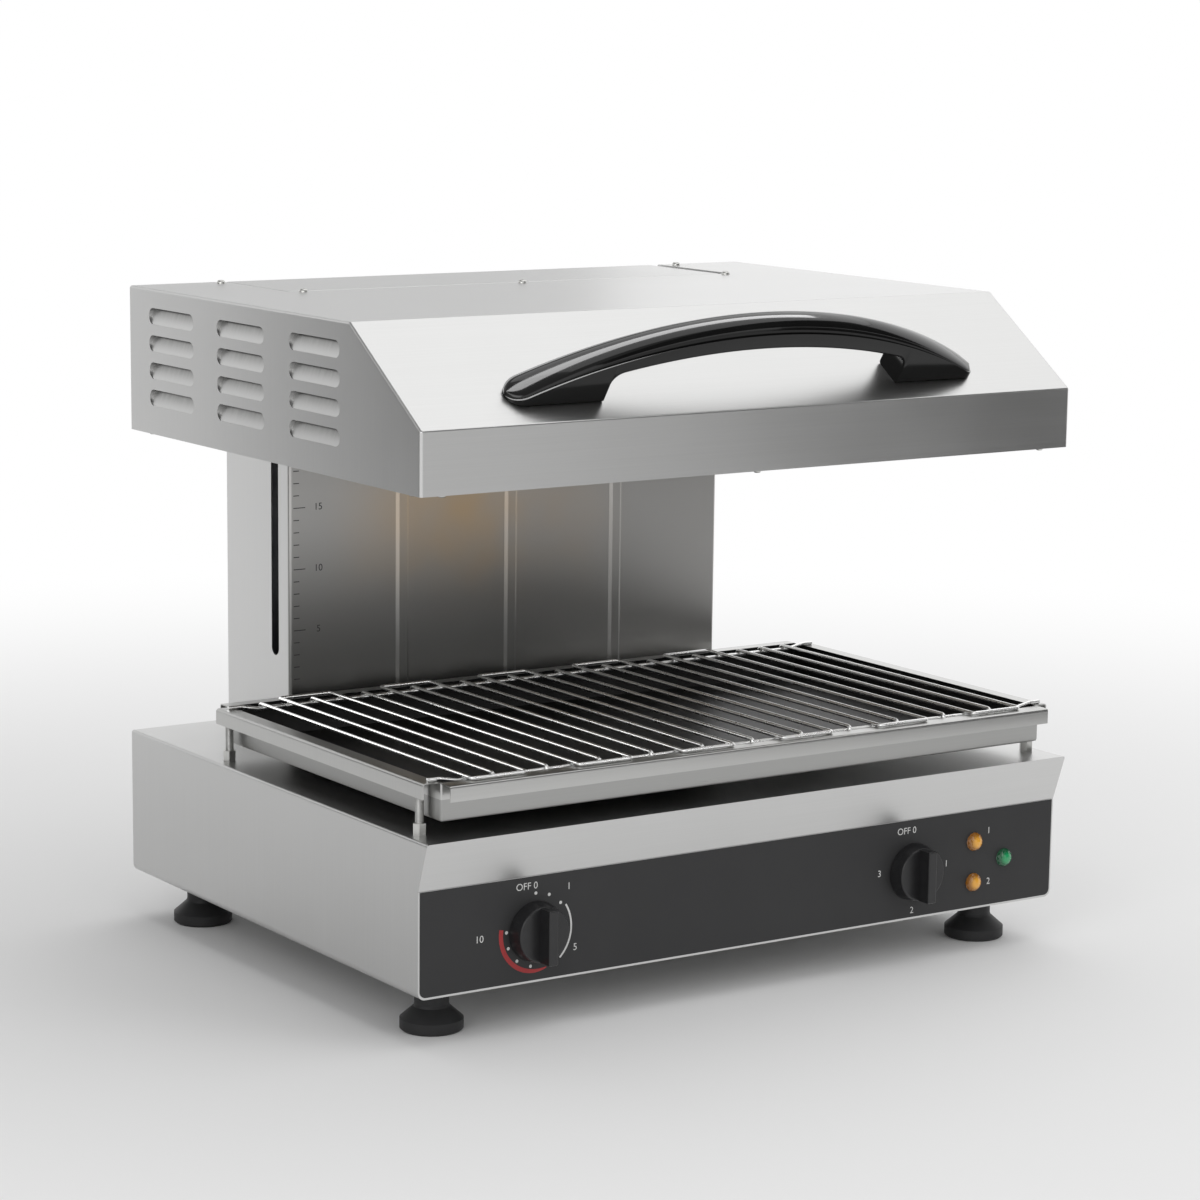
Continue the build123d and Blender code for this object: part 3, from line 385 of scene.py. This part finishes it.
def jewel(x, z):
    """A domed lens: ring radius and height from a list, twelve facets round, alternate rings turned half a step."""
    step = np.linspace(0.0, 2.0 * np.pi, 13)
    turned = step[None, :] + (np.arange(len(lens_rings)) % 2)[:, None] * np.pi / 12
    radius, out = lens_rings[:, :1], lens_rings[:, 1:]
    return np.stack([x + radius * np.cos(turned), film_y - out + 0.0 * turned, z + radius * np.sin(turned)], axis=-1)


def lens(deep, highlight_tint, x, rise):
    """Tinted plastic: brighter in the middle as a painted highlight and deeper towards the rim; the glow takes the same
    tint.
    """
    def varied(place):
        across = place.part("X") - x
        up = (place.part("Z") - control_z).math("ABSOLUTE") - rise
        far = (across * across + up * up).math("SQRT")
        # painted highlight: the tint is brighter in the middle of each lens
        tint_with_highlight = far.ramp(0.0022, 0.0068).blend(highlight_tint, deep)
        return {"Base Color": tint_with_highlight, "Emission Color": tint_with_highlight,
                "Roughness": 0.10 + 0.08 * place.noise((400.0, 400.0, 400.0))}
    return varied


amber_x, amber_rise, green_x = 0.2181, 0.0167, 0.2491
amber_lens = finish("amber_lens", {"Emission Strength": 0.25, "Coat Weight": 0.6},
                    lens((0.20, 0.075, 0.006, 1.0), (0.62, 0.30, 0.030, 1.0), amber_x, amber_rise))
green_lens = finish("green_lens", {"Emission Strength": 0.2, "Coat Weight": 0.6},
                    lens((0.002, 0.060, 0.022, 1.0), (0.010, 0.26, 0.09, 1.0), green_x, 0.0))
amber_mesh = surface("amber_jewels", [jewel(amber_x, control_z + side * amber_rise) for side in (1, -1)], smooth=False)
green_mesh = surface("green_jewel", [jewel(green_x, control_z)], smooth=False)
show("amber_jewels", amber_mesh, amber_lens, "base", "amber_lens", "lamps_amber")
show("green_jewel", green_mesh, green_lens, "base", "green_lens", "lamp_green")

# Tray posts: plated steel studs with rolled threads, held by a nut above and one below the base's top sheet.
# The other nuts, screws, bolts, pins and shafts are of the same plated steel.
plated_steel = finish("plated_steel", {"Metallic": 1.0}, lambda place: {
    "Base Color": place.noise((150.0, 150.0, 150.0)).blend((0.50, 0.50, 0.48, 1.0), (0.66, 0.66, 0.64, 1.0)),
    "Roughness": 0.22 + 0.2 * place.noise((200.0, 200.0, 200.0))})
dress(plated_steel, "post_nuts", "foot_nuts", "arm_bolts", "handle_screws", "timer_shaft", "selector_shaft",
      "pulley_pins")
thread_pitch = 0.001
stud_steel = finish("stud_steel", {"Metallic": 1.0}, lambda place: {
    "Base Color": place.noise((150.0, 150.0, 150.0)).blend((0.48, 0.48, 0.47, 1.0), (0.64, 0.64, 0.62, 1.0)),
    "Roughness": 0.25 + 0.15 * place.noise((200.0, 200.0, 200.0)),
    "Normal": (place.part("Z") * (2.0 * np.pi / thread_pitch)).math("SINE").bump(0.5, 0.0003)})
dress(stud_steel, "tray_posts")

# Drip tray: a pan of stainless sheet with tight corners, and a rim folded out and down along each of its sides.
# The rims are brushed and stop at the corners; the inside is painted near black in blotches, as shade and the dark
# reflection of the head's underside.
pan_low, pan_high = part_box("drip_tray")
gauge, rim_wide, rim_deep, fold_r, pan_corner = 0.001, 0.0134, 0.012, 0.0024, 0.0016
inner_x, inner_y0, inner_y1 = pan_high.x - rim_wide, pan_low.y + rim_wide, pan_high.y - rim_wide
pan_middle, rim_end, side_gap, skim = 0.5 * (inner_y0 + inner_y1), inner_x + 0.0004, 0.004, 0.0004


def tray_finish(place):
    """Brushed steel outside, with painted shade on the walls below the rim; inside the pan's walls, painted near-black
    shade and reflection.
    """
    base = brushed((0.46, 0.46, 0.45, 1.0), (0.58, 0.58, 0.57, 1.0), 0.3)(place)
    looks = place.add("TexCoord", out="Normal")
    x, y, z = [place.part(letter) for letter in "XYZ"]
    outward = looks.part("X") * x + looks.part("Y") * (y - pan_middle)
    inside = ((x.math("ABSOLUTE") < inner_x + 0.5 * skim) * (y > inner_y0 - 0.5 * skim) * (y < inner_y1 + 0.5 * skim)
              * (z < pan_high.z - skim) * (z > pan_low.z + skim) * (outward < 0.02))
    # painted shade: the walls below the rim are darkened
    rim_shade = (z < pan_high.z - rim_deep - skim) * 0.55
    outside_with_rim_shade = rim_shade.blend(base["Base Color"], (0.24, 0.24, 0.235, 1.0))
    # painted shade and reflection: the inside of the pan is near black, in blotches
    inside_blotches = place.noise((9.0, 9.0, 9.0), 4.0).ramp(0.3, 0.75)
    painted_dark_inside = inside_blotches.blend((0.010, 0.010, 0.010, 1.0), (0.030, 0.029, 0.028, 1.0))
    return {"Base Color": inside.blend(outside_with_rim_shade, painted_dark_inside), "Roughness": base["Roughness"] + inside * 0.08,
            "Metallic": 1.0 - 0.5 * inside, "Normal": base["Normal"]}


def corner_ring(half_x, low_y, high_y, radius, z):
    """A level rectangle with rounded corners: quarter circles of one radius round four centres."""
    angle = np.radians([-90.0, 0.0, 90.0, 180.0])[:, None] + np.linspace(0.0, 0.5 * np.pi, 7)[None, :]
    front, rear = low_y + radius, high_y - radius
    x = np.array([1, 1, -1, -1])[:, None] * (half_x - radius) + radius * np.cos(angle)
    y = np.array([front, rear, rear, front])[:, None] + radius * np.sin(angle)
    ring = np.stack([x.ravel(), y.ravel(), np.full(x.size, z)], axis=-1)
    return np.concatenate([ring, ring[:1]])


def capped(rings):
    """Rings stacked into a grid, with the first and the last drawn together into their middles."""
    first, last = [np.broadcast_to(0.5 * (ring.min(axis=0) + ring.max(axis=0)), ring.shape)
                   for ring in (rings[0], rings[-1])]
    return np.stack([first, *rings, last])


def folded_rim(place_at, start, end):
    """A strip one sheet thick: its outer and inner lines carried along a side, then closed at the edges and ends."""
    turn = np.linspace(0.5 * np.pi, 0.0, 8)
    skins = []
    for depth in (0.0, gauge):
        out = np.concatenate([[0.0], rim_wide - fold_r + (fold_r - depth) * np.cos(turn), [rim_wide - depth]])
        rise = pan_high.z + np.concatenate([[-depth], (fold_r - depth) * np.sin(turn) - fold_r, [-rim_deep]])
        out, along, rise = np.broadcast_arrays(out[None, :], np.array([start, end])[:, None], rise[None, :])
        skins.append(np.stack([*place_at(out, along), rise], axis=-1))
    edges = [np.stack([skins[0][:, k], skins[1][:, k]]) for k in (0, -1)]
    return skins + edges + [np.stack([skins[0][k], skins[1][k]]) for k in (0, -1)]


wall_top = pan_high.z - pan_low.z - 0.0003
pan_steps = ((0.0028, 0.0), (0.0022, 0.0), (0.0006, 0.0006), (0.0, 0.0022), (0.0, wall_top),
             (gauge, wall_top), (gauge, gauge + 0.0014), (gauge + 0.0004, gauge + 0.0004), (gauge + 0.0014, gauge),
             (gauge + 0.0019, gauge))
pan_rings = [corner_ring(inner_x + gauge - inset, inner_y0 - gauge + inset, inner_y1 + gauge - inset,
                         max(pan_corner - inset, 0.0003), pan_low.z + rise) for inset, rise in pan_steps]
tray_grids = [capped(pan_rings)]
tray_grids += folded_rim(lambda out, along: (along, inner_y0 - out), -rim_end, rim_end)
tray_grids += folded_rim(lambda out, along: (along, inner_y1 + out), -rim_end, rim_end)
tray_grids += folded_rim(lambda out, along: (inner_x + out, along), inner_y0 + side_gap, inner_y1 - side_gap)
tray_grids += folded_rim(lambda out, along: (-inner_x - out, along), inner_y0 + side_gap, inner_y1 - side_gap)
tray_mesh = surface("tray_pan", tray_grids)
tray_mesh.set_sharp_from_angle(angle=np.radians(35))
show("tray_pan", tray_mesh, finish("tray_steel", {}, tray_finish), "tray", "tray_steel", "drip_tray")

# Grate: bright chromed wire bent into long hairpins, spot-welded to two cross rods.
# Heat has dulled the plating a little in places. Two soft lights reach the wires alone, for their bright lines.
chrome_wire = finish("chrome_wire", {"Metallic": 1.0}, lambda place: {
    "Base Color": place.noise((35.0, 35.0, 35.0)).blend((0.86, 0.86, 0.85, 1.0), (0.95, 0.95, 0.94, 1.0)),
    "Roughness": 0.20 + 0.16 * place.noise((60.0, 60.0, 60.0))})
dress(chrome_wire, "grate_wires", "grate_rods", "guide_rods")
wires = [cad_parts[name] for name in ("grate_wires", "grate_rods")]
soft_light("wire_light_rear", (-1.15, 1.45, 0.62), (0.0, -0.05, 0.20), 1.2, 7.0, *wires)
soft_light("wire_light_front", (0.95, -1.55, 0.60), (0.0, -0.20, 0.20), 0.9, 4.0, *wires)

# Column: folded stainless with three pressed ribs, closed by a lid, level with the head's top, and a rear plate.
# The front is painted darker than the sides as shade, with a warm patch high up, painted shade low down that is
# strongest on the left, and an etched centimetre scale at its left edge.
column_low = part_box("column_shell")[0]


def column_finish(place):
    """Brushed steel; the front is painted darker as shade, with a warm patch high up that fades to the sides and
    painted shade low down.
    """
    base = brushed((0.62, 0.62, 0.615, 1.0), (0.70, 0.70, 0.695, 1.0), 0.36)(place)
    front = place.part("Y").ramp(column_low.y + 0.006, column_low.y + 0.003)
    aside = (place.part("X") + 0.03).math("ABSOLUTE")
    # a warm patch high on the front, fading to the sides
    warm = place.part("Z").ramp(0.23, 0.30) * place.part("Z").ramp(0.33, 0.40, 1.0, 0.4)
    warm = warm * aside.ramp(0.16, 0.02) * front * place.noise((5.0, 5.0, 5.0)).ramp(0.25, 0.6)
    # painted shade: the whole front face is darker than the sides
    front_shaded = (front * 0.75).blend(base["Base Color"], (0.46, 0.45, 0.435, 1.0))
    tinted = (warm * 0.8).blend(front_shaded, (0.66, 0.46, 0.25, 1.0))
    # painted shade: darker low on the front, most on the left
    low_front_shade = place.part("Z").ramp(0.36, 0.20) * place.part("X").ramp(0.18, -0.02, 0.4, 1.0) * front
    return {"Base Color": (low_front_shade * 0.85).blend(tinted, (0.13, 0.13, 0.125, 1.0)), "Roughness": base["Roughness"],
            "Normal": base["Normal"]}


lid_low, lid_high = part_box("column_cap")
lid_z, lid_corner = lid_high.z + 0.0024, 0.0025
lid_steps = ((0.0, lid_high.z - 0.0012), (0.0, lid_z - 0.0010), (0.0003, lid_z - 0.0003), (0.0010, lid_z),
             (0.0014, lid_z))
lid_rings = [corner_ring(lid_high.x - inset, lid_low.y + inset, lid_high.y - inset, lid_corner - inset, z)
             for inset, z in lid_steps]
lid_mesh = surface("column_lid", [capped(lid_rings)])
lid_mesh.set_sharp_from_angle(angle=np.radians(50))
show("column_lid", lid_mesh, sheet_steel, "base", "stainless", "column_cap")
dress(finish("column_steel", {"Metallic": 1.0}, column_finish), "column_shell")
dress(sheet_steel, "column_rear")
etched = finish("etched", {"Metallic": 0.6}, lambda place: {
    "Base Color": place.noise((700.0, 700.0, 700.0)).blend((0.03, 0.03, 0.03, 1.0), (0.09, 0.09, 0.09, 1.0)),
    "Roughness": 0.5 + 0.2 * place.noise((300.0, 300.0, 300.0))})
rib_rise, etch_lift = 0.0018, 0.00006
scale_y = column_low.y + rib_rise - etch_lift
scale_zero, scale_left, number_x = 0.1982, -0.2068, -0.1840


def tick(centimetre):
    """A flat stroke facing the front; every fifth one is longer."""
    x = scale_left + np.array([0.0, 0.0108 if centimetre % 5 == 0 else 0.0052])[None, :]
    z = scale_zero + 0.01 * centimetre + np.array([-0.00035, 0.00035])[:, None]
    return np.stack([x + 0.0 * z, np.full((2, 2), scale_y), z + 0.0 * x], axis=-1)


ticks = surface("scale_ticks", [tick(centimetre) for centimetre in range(1, 21)], closed=False)
show("scale_ticks", ticks, etched, "base", "stainless")
for centimetre in (5, 10, 15):
    figures(f"scale_{centimetre}", str(centimetre), 0.0055, number_x, scale_y, scale_zero + 0.01 * centimetre, etched,
            "base", "stainless")

# Lifting gear: plated flat steel for beam, arms, blocks and guides; cast iron for the weight;
# turned bronze bushes in aluminium bearing blocks; rubber stops.
zinc_steel = finish("zinc_steel", {"Metallic": 1.0}, lambda place: {
    "Base Color": place.noise((25.0, 25.0, 25.0)).blend((0.42, 0.43, 0.45, 1.0), (0.56, 0.57, 0.58, 1.0)),
    "Roughness": 0.3 + 0.25 * place.noise((45.0, 45.0, 45.0))})
dress(zinc_steel, "side_arms", "lifting_beam", "rod_foot_blocks", "rod_top_blocks", "pulley_clevises",
      "weight_guides", "heater_bars")
cast_iron = finish("cast_iron", {"Metallic": 0.7}, lambda place: {
    "Base Color": place.noise((60.0, 60.0, 60.0)).blend((0.06, 0.06, 0.06, 1.0), (0.14, 0.135, 0.13, 1.0)),
    "Roughness": 0.6 + 0.25 * place.noise((90.0, 90.0, 90.0)),
    "Normal": place.noise((400.0, 400.0, 400.0)).bump(0.4, 0.0005)})
dress(cast_iron, "counterweight")
milled = finish("milled", {"Metallic": 1.0}, lambda place: {
    "Base Color": place.noise((30.0, 30.0, 900.0)).blend((0.66, 0.67, 0.68, 1.0), (0.76, 0.77, 0.78, 1.0)),
    "Roughness": 0.26 + 0.14 * place.noise((30.0, 30.0, 900.0))})
dress(milled, "bearing_blocks")
bronze = finish("bronze", {"Metallic": 1.0}, lambda place: {
    "Base Color": place.noise((40.0, 40.0, 900.0)).blend((0.52, 0.36, 0.16, 1.0), (0.66, 0.48, 0.24, 1.0)),
    "Roughness": 0.25 + 0.15 * place.noise((40.0, 40.0, 900.0))})
dress(bronze, "guide_bushes")
rubber = finish("rubber", {"Specular IOR Level": 0.3}, lambda place: {
    "Base Color": place.noise((120.0, 120.0, 120.0)).blend((0.012, 0.012, 0.012, 1.0), (0.03, 0.03, 0.03, 1.0)),
    "Roughness": 0.65 + 0.2 * place.noise((200.0, 200.0, 200.0))})
dress(rubber, "travel_stops")

# Ropes: two laid steel wire ropes from the beam over the pulleys to the weight.
# The runs hang straight between their ends and ride on no body; the part on the pulley rides on the base.
rope_r, rope_lay, rope_turn = 0.0019, 0.014, 0.027
front_y, rear_y, wheel_z = 0.154, 0.208, 0.484
beam_end, weight_end = 0.4325, 0.2655
rope_steel = finish("rope_steel", {"Metallic": 1.0}, lambda place: {
    "Base Color": place.noise((500.0, 500.0, 500.0)).blend((0.26, 0.26, 0.26, 1.0), (0.48, 0.48, 0.47, 1.0)),
    "Roughness": 0.35 + 0.2 * place.noise((500.0, 500.0, 500.0))})


def laid_rope(x, middle_y, middle_z, across_y, across_z, length):
    """A rope of six strands: round its middle line the radius swells six times, turning once per lay along it."""
    angle = np.linspace(0.0, 2.0 * np.pi, 25)[None, :]
    radius = rope_r * (0.93 + 0.07 * np.cos(6.0 * (angle + 2.0 * np.pi * length[:, None] / rope_lay)))
    side = radius * np.cos(angle)
    return np.stack([x + radius * np.sin(angle), middle_y[:, None] + side * across_y[:, None],
                     middle_z[:, None] + side * across_z[:, None]], axis=-1)


for hand, x in (("left", -0.06), ("right", 0.06)):
    for label, y, low, body in (("front", front_y, beam_end, "head"), ("rear", rear_y, weight_end, "counterweight")):
        z = np.linspace(wheel_z, low, int((wheel_z - low) / 0.0015))
        run = laid_rope(x, np.full(z.shape, y), z, np.ones(z.shape), np.zeros(z.shape), z)
        piece = show(f"rope_{label}_{hand}", surface("rope_run", [run]), rope_steel, None, "rope_steel", "ropes")
        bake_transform(piece)
    over = np.linspace(0.0, np.pi, 70)
    wrap = laid_rope(x, 0.5 * (front_y + rear_y) - rope_turn * np.cos(over), wheel_z + rope_turn * np.sin(over),
                     -np.cos(over), np.sin(over), over * rope_turn)
    show(f"rope_wrap_{hand}", surface("rope_wrap", [wrap]), rope_steel, "base", "rope_steel", "ropes")

# Head: one folded sheet makes the front, the slope and the top; louvred sides are welded to it.
# A liner of the same steel closes the notch round the column.
hood_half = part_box("hood_shell")[1].x


def hood_finish(place):
    """Brushed steel; in the louvres a painted shade deepens with depth behind the side's face, in streaks."""
    base = brushed((0.54, 0.54, 0.535, 1.0), (0.64, 0.64, 0.635, 1.0), 0.32)(place)
    depth = hood_half - place.part("X").math("ABSOLUTE")
    sideways = place.add("TexCoord", out="Normal").part("X").math("ABSOLUTE") > 0.7
    # painted shade: the louvres' pressed flaps darken with depth
    louvre_shade = depth.ramp(0.0006, 0.0048) * (depth < 0.008) * sideways
    streaked_louvre_shade = louvre_shade * (0.5 + 0.5 * place.noise((40.0, 260.0, 40.0)))
    return {"Base Color": streaked_louvre_shade.blend(base["Base Color"], (0.20, 0.20, 0.195, 1.0)),
            "Roughness": base["Roughness"], "Normal": base["Normal"]}


hood_steel = finish("hood_steel", {"Metallic": 1.0}, hood_finish)
dress(hood_steel, "hood_shell", "notch_liner")

# Screws: plated pan heads with a cross recess, on the hood's top and lower edge and on the two rear plates.
# Only the heads show; their shanks are in the sheets.
head_r, head_h, cross_arm, cross_wide, cross_deep = 0.0034, 0.0026, 0.0019, 0.00042, 0.0011
head_rings = np.array([0.0, 0.06, 0.12, 0.18, 0.26, 0.36, 0.46, 0.55, 0.60, 0.72, 0.84, 0.93, 0.98, 1.0])
hood_top_z, hood_low_z, base_back, column_back = 0.523, 0.407, 0.237, 0.2365


def pan_head(x, y, z, out, size):
    """A domed disc: height falls with the fourth power of radius, less a cross-shaped pit; out is where it looks."""
    angle = np.linspace(0.0, 2.0 * np.pi, 49)[None, :]
    radius = head_r * head_rings[:, None]
    a, b = radius * np.cos(angle), radius * np.sin(angle)
    near, far = np.minimum(abs(a), abs(b)), np.maximum(abs(a), abs(b))
    pit = np.clip((cross_wide - near) / 0.00012, 0.0, 1.0) * np.clip((cross_arm - far) / 0.0004, 0.0, 1.0)
    rise = head_h * np.sqrt(np.clip(1.0 - (radius / head_r) ** 4, 0.0, 1.0)) - cross_deep * pit
    frame_of = {"up": (a, b, rise), "down": (a, -b, -rise), "rear": (-a, rise, b)}[out]
    return np.stack([x + size * frame_of[0], y + size * frame_of[1], z + size * frame_of[2]], axis=-1)


top_heads = [pan_head(x, y, hood_top_z, "up", 1.05) for x, y in
             ((-0.2054, 0.114), (0.0, 0.114), (0.2054, 0.114), (-0.225, 0.216), (0.225, 0.216))]
low_heads = [pan_head(x, y, hood_low_z, "down", 0.9) for x, y in
             ((-0.2775, -0.217), (0.0, -0.217), (0.2775, -0.217), (-0.292, -0.201), (0.292, -0.201), (-0.292, 0.208),
              (0.292, 0.208))]
rear_heads = [pan_head(x, base_back, z, "rear", 1.0) for x in (-0.2918, 0.2918) for z in (0.062, 0.139)]
rear_heads += [pan_head(x, column_back, z, "rear", 1.0) for x in (-0.2023, 0.2023) for z in (0.177, 0.3385, 0.48)]
for label, heads, body, node in (("top_screw_heads", top_heads, "head", "hood_top_screws"),
                                 ("low_screw_heads", low_heads, "head", "hood_low_screws"),
                                 ("rear_screw_heads", rear_heads, "base", "rear_screws")):
    show(label, surface(label, heads, closed=False), plated_steel, body, "fastener_steel", node)

# Heaters: one bent tube per side under a bright reflector pan, on two cross bars, with wool above.
# The tubes are dark from firing, and the pan has straw heat tint in blotches.
pan_steel = finish("pan_steel", {"Metallic": 1.0}, lambda place: {
    "Base Color": place.noise((11.0, 11.0, 11.0)).ramp(0.35, 0.7).blend((0.55, 0.54, 0.52, 1.0),
                                                                        (0.40, 0.33, 0.24, 1.0)),
    "Roughness": 0.25 + 0.2 * place.noise((25.0, 25.0, 25.0))})
dress(pan_steel, "heater_pan")
fired_tube = finish("fired_tube", {"Metallic": 0.8}, lambda place: {
    "Base Color": place.noise((40.0, 8.0, 40.0)).blend((0.045, 0.040, 0.038, 1.0), (0.12, 0.105, 0.095, 1.0)),
    "Roughness": 0.5 + 0.25 * place.noise((120.0, 120.0, 120.0)),
    "Normal": place.noise((800.0, 800.0, 800.0)).bump(0.2, 0.0002)})
dress(fired_tube, "heater_left", "heater_right")
wool = finish("wool", {"Specular IOR Level": 0.1}, lambda place: {
    "Base Color": place.noise((90.0, 90.0, 400.0)).blend((0.52, 0.48, 0.38, 1.0), (0.74, 0.71, 0.62, 1.0)),
    "Roughness": 0.85 + 0.1 * place.noise((90.0, 90.0, 90.0)),
    "Normal": place.noise((250.0, 250.0, 900.0), 5.0).bump(0.8, 0.002)})
dress(wool, "insulation")
glazed = finish("glazed", {"Specular IOR Level": 0.5}, lambda place: {
    "Base Color": place.noise((70.0, 70.0, 70.0)).blend((0.66, 0.62, 0.52, 1.0), (0.76, 0.73, 0.64, 1.0)),
    "Roughness": 0.3 + 0.2 * place.noise((70.0, 70.0, 70.0))})
dress(glazed, "heater_terminals", "terminal_block")

# Handle: a glossy black arch moulded in one, with long feet screwed through the slope from inside.
# A rounded crown sits between two narrow ledges that run along both edges and round the tips.
# Hands keep the crown polished, and its flanks are duller. A strip light gives the crown its long highlight.
slope_low, slope_high = np.array([-0.225, 0.454]), np.array([-0.124, 0.523])
slope_long = np.linalg.norm(slope_high - slope_low)
along = (slope_high - slope_low) / slope_long
out_of = np.array([-along[1], along[0]])
seat = slope_low + 0.255 * slope_long * along
half_span, rise, gap, foot_inner, tip, half_wide = 0.215, 0.064, 0.042, 0.136, 0.005, 0.013
corner_r, edge_r, ledge_wide = 0.0126, 0.0026, 0.0016
crown_r = (half_span ** 2 + (rise - tip) ** 2) / (2.0 * (rise - tip))
belly_r = (foot_inner ** 2 + (0.43 * gap) ** 2) / (0.86 * gap)
corner_x = foot_inner - corner_r
corner_z = gap - belly_r + np.sqrt((belly_r - corner_r) ** 2 - corner_x ** 2)
meet_x = corner_x * belly_r / (belly_r - corner_r)
on_belly, on_bend = 44, 14
bend = np.sin(0.5 * np.pi * np.linspace(0.0, 1.0, on_bend))[1:]
tip_start = half_span - half_wide
stations = np.concatenate([np.linspace(0.0, meet_x, on_belly), meet_x + (foot_inner - meet_x) * bend, [foot_inner],
                           np.linspace(foot_inner, tip_start, 22)[1:], tip_start + half_wide * bend])
belly, corner = stations[:on_belly], stations[on_belly:on_belly + on_bend - 1]
sole = np.zeros(stations.shape)
sole[:on_belly] = gap - belly_r + np.sqrt(belly_r ** 2 - belly ** 2)
sole[on_belly:on_belly + on_bend - 1] = corner_z + np.sqrt(np.clip(corner_r ** 2 - (corner - corner_x) ** 2, 0.0, None))
crown = rise - crown_r + np.sqrt(crown_r ** 2 - stations ** 2)
into_tip = np.clip(stations - tip_start, 0.0, None) / half_wide
plan = half_wide * np.sqrt(np.clip(1.0 - into_tip ** 2, 0.0, 1.0))
drop = np.minimum(0.0030 + 0.0050 * (1.0 - (stations / half_span) ** 2), 0.6 * (crown - sole))
ledge = np.minimum(ledge_wide, 0.3 * plan)
edge = np.minimum(edge_r, 0.3 * np.minimum(plan, crown - drop - sole))
halves = [np.concatenate([row[:0:-1], row]) for row in (sole, crown, plan, drop, ledge, edge)]
sole, crown, plan, drop, ledge, edge = [row[:, None] for row in halves]
stations = np.concatenate([-stations[:0:-1], stations])[:, None]
quarter = np.linspace(0.0, 0.5 * np.pi, 6)[None, :]
sweep = np.linspace(0.0, np.pi, 25)[None, :]
left_edge = -(plan - edge) - edge * np.sin(quarter), sole + edge - edge * np.cos(quarter)
dome = -(plan - ledge) * np.cos(sweep), crown - drop + drop * np.sin(sweep)
across = [0.0 * plan, left_edge[0], -plan, dome[0], plan, -left_edge[0][:, ::-1], 0.0 * plan]
height = [sole, left_edge[1], crown - drop, dome[1], crown - drop, left_edge[1][:, ::-1], sole]
across, height = np.concatenate(across, axis=1), np.concatenate(height, axis=1)
arch = np.stack([np.broadcast_to(stations, across.shape), seat[0] - along[0] * across + out_of[0] * height,
                 seat[1] - along[1] * across + out_of[1] * height], axis=-1)


def gloss_finish(place):
    """Black plastic with faint waves; a clear polish grows where the skin faces away from the slope."""
    looks = place.add("TexCoord", out="Normal")
    facing = place.add("VectorMath", {"operation": "DOT_PRODUCT"}, {0: looks, 1: (0.0, *out_of)}, out="Value")
    return {"Coat Weight": facing.ramp(0.3, 0.6, 0.0, 0.5),
            "Base Color": place.noise((30.0, 30.0, 30.0)).blend((0.002, 0.002, 0.002, 1.0), (0.005, 0.005, 0.005, 1.0)),
            "Roughness": 0.06 + 0.14 * place.noise((25.0, 25.0, 25.0)),
            "Normal": place.noise((90.0, 90.0, 90.0)).bump(0.03, 0.0004)}


gloss_black = finish("gloss_black", {"Specular IOR Level": 0.25}, gloss_finish)
handle = show("handle_arch", surface("handle_arch", [arch]), gloss_black, "head", "black_gloss", "handle")
handle.data.set_sharp_from_angle(angle=np.radians(32))
strip = soft_light("handle_strip", (0.45, -0.02, 2.6), (0.45, -0.02, 0.0), 3.2, 50.0, handle)
strip.data.shape = "RECTANGLE"
strip.data.size_y = 0.7
strip.rotation_euler = (0.0, 0.0, 0.1)
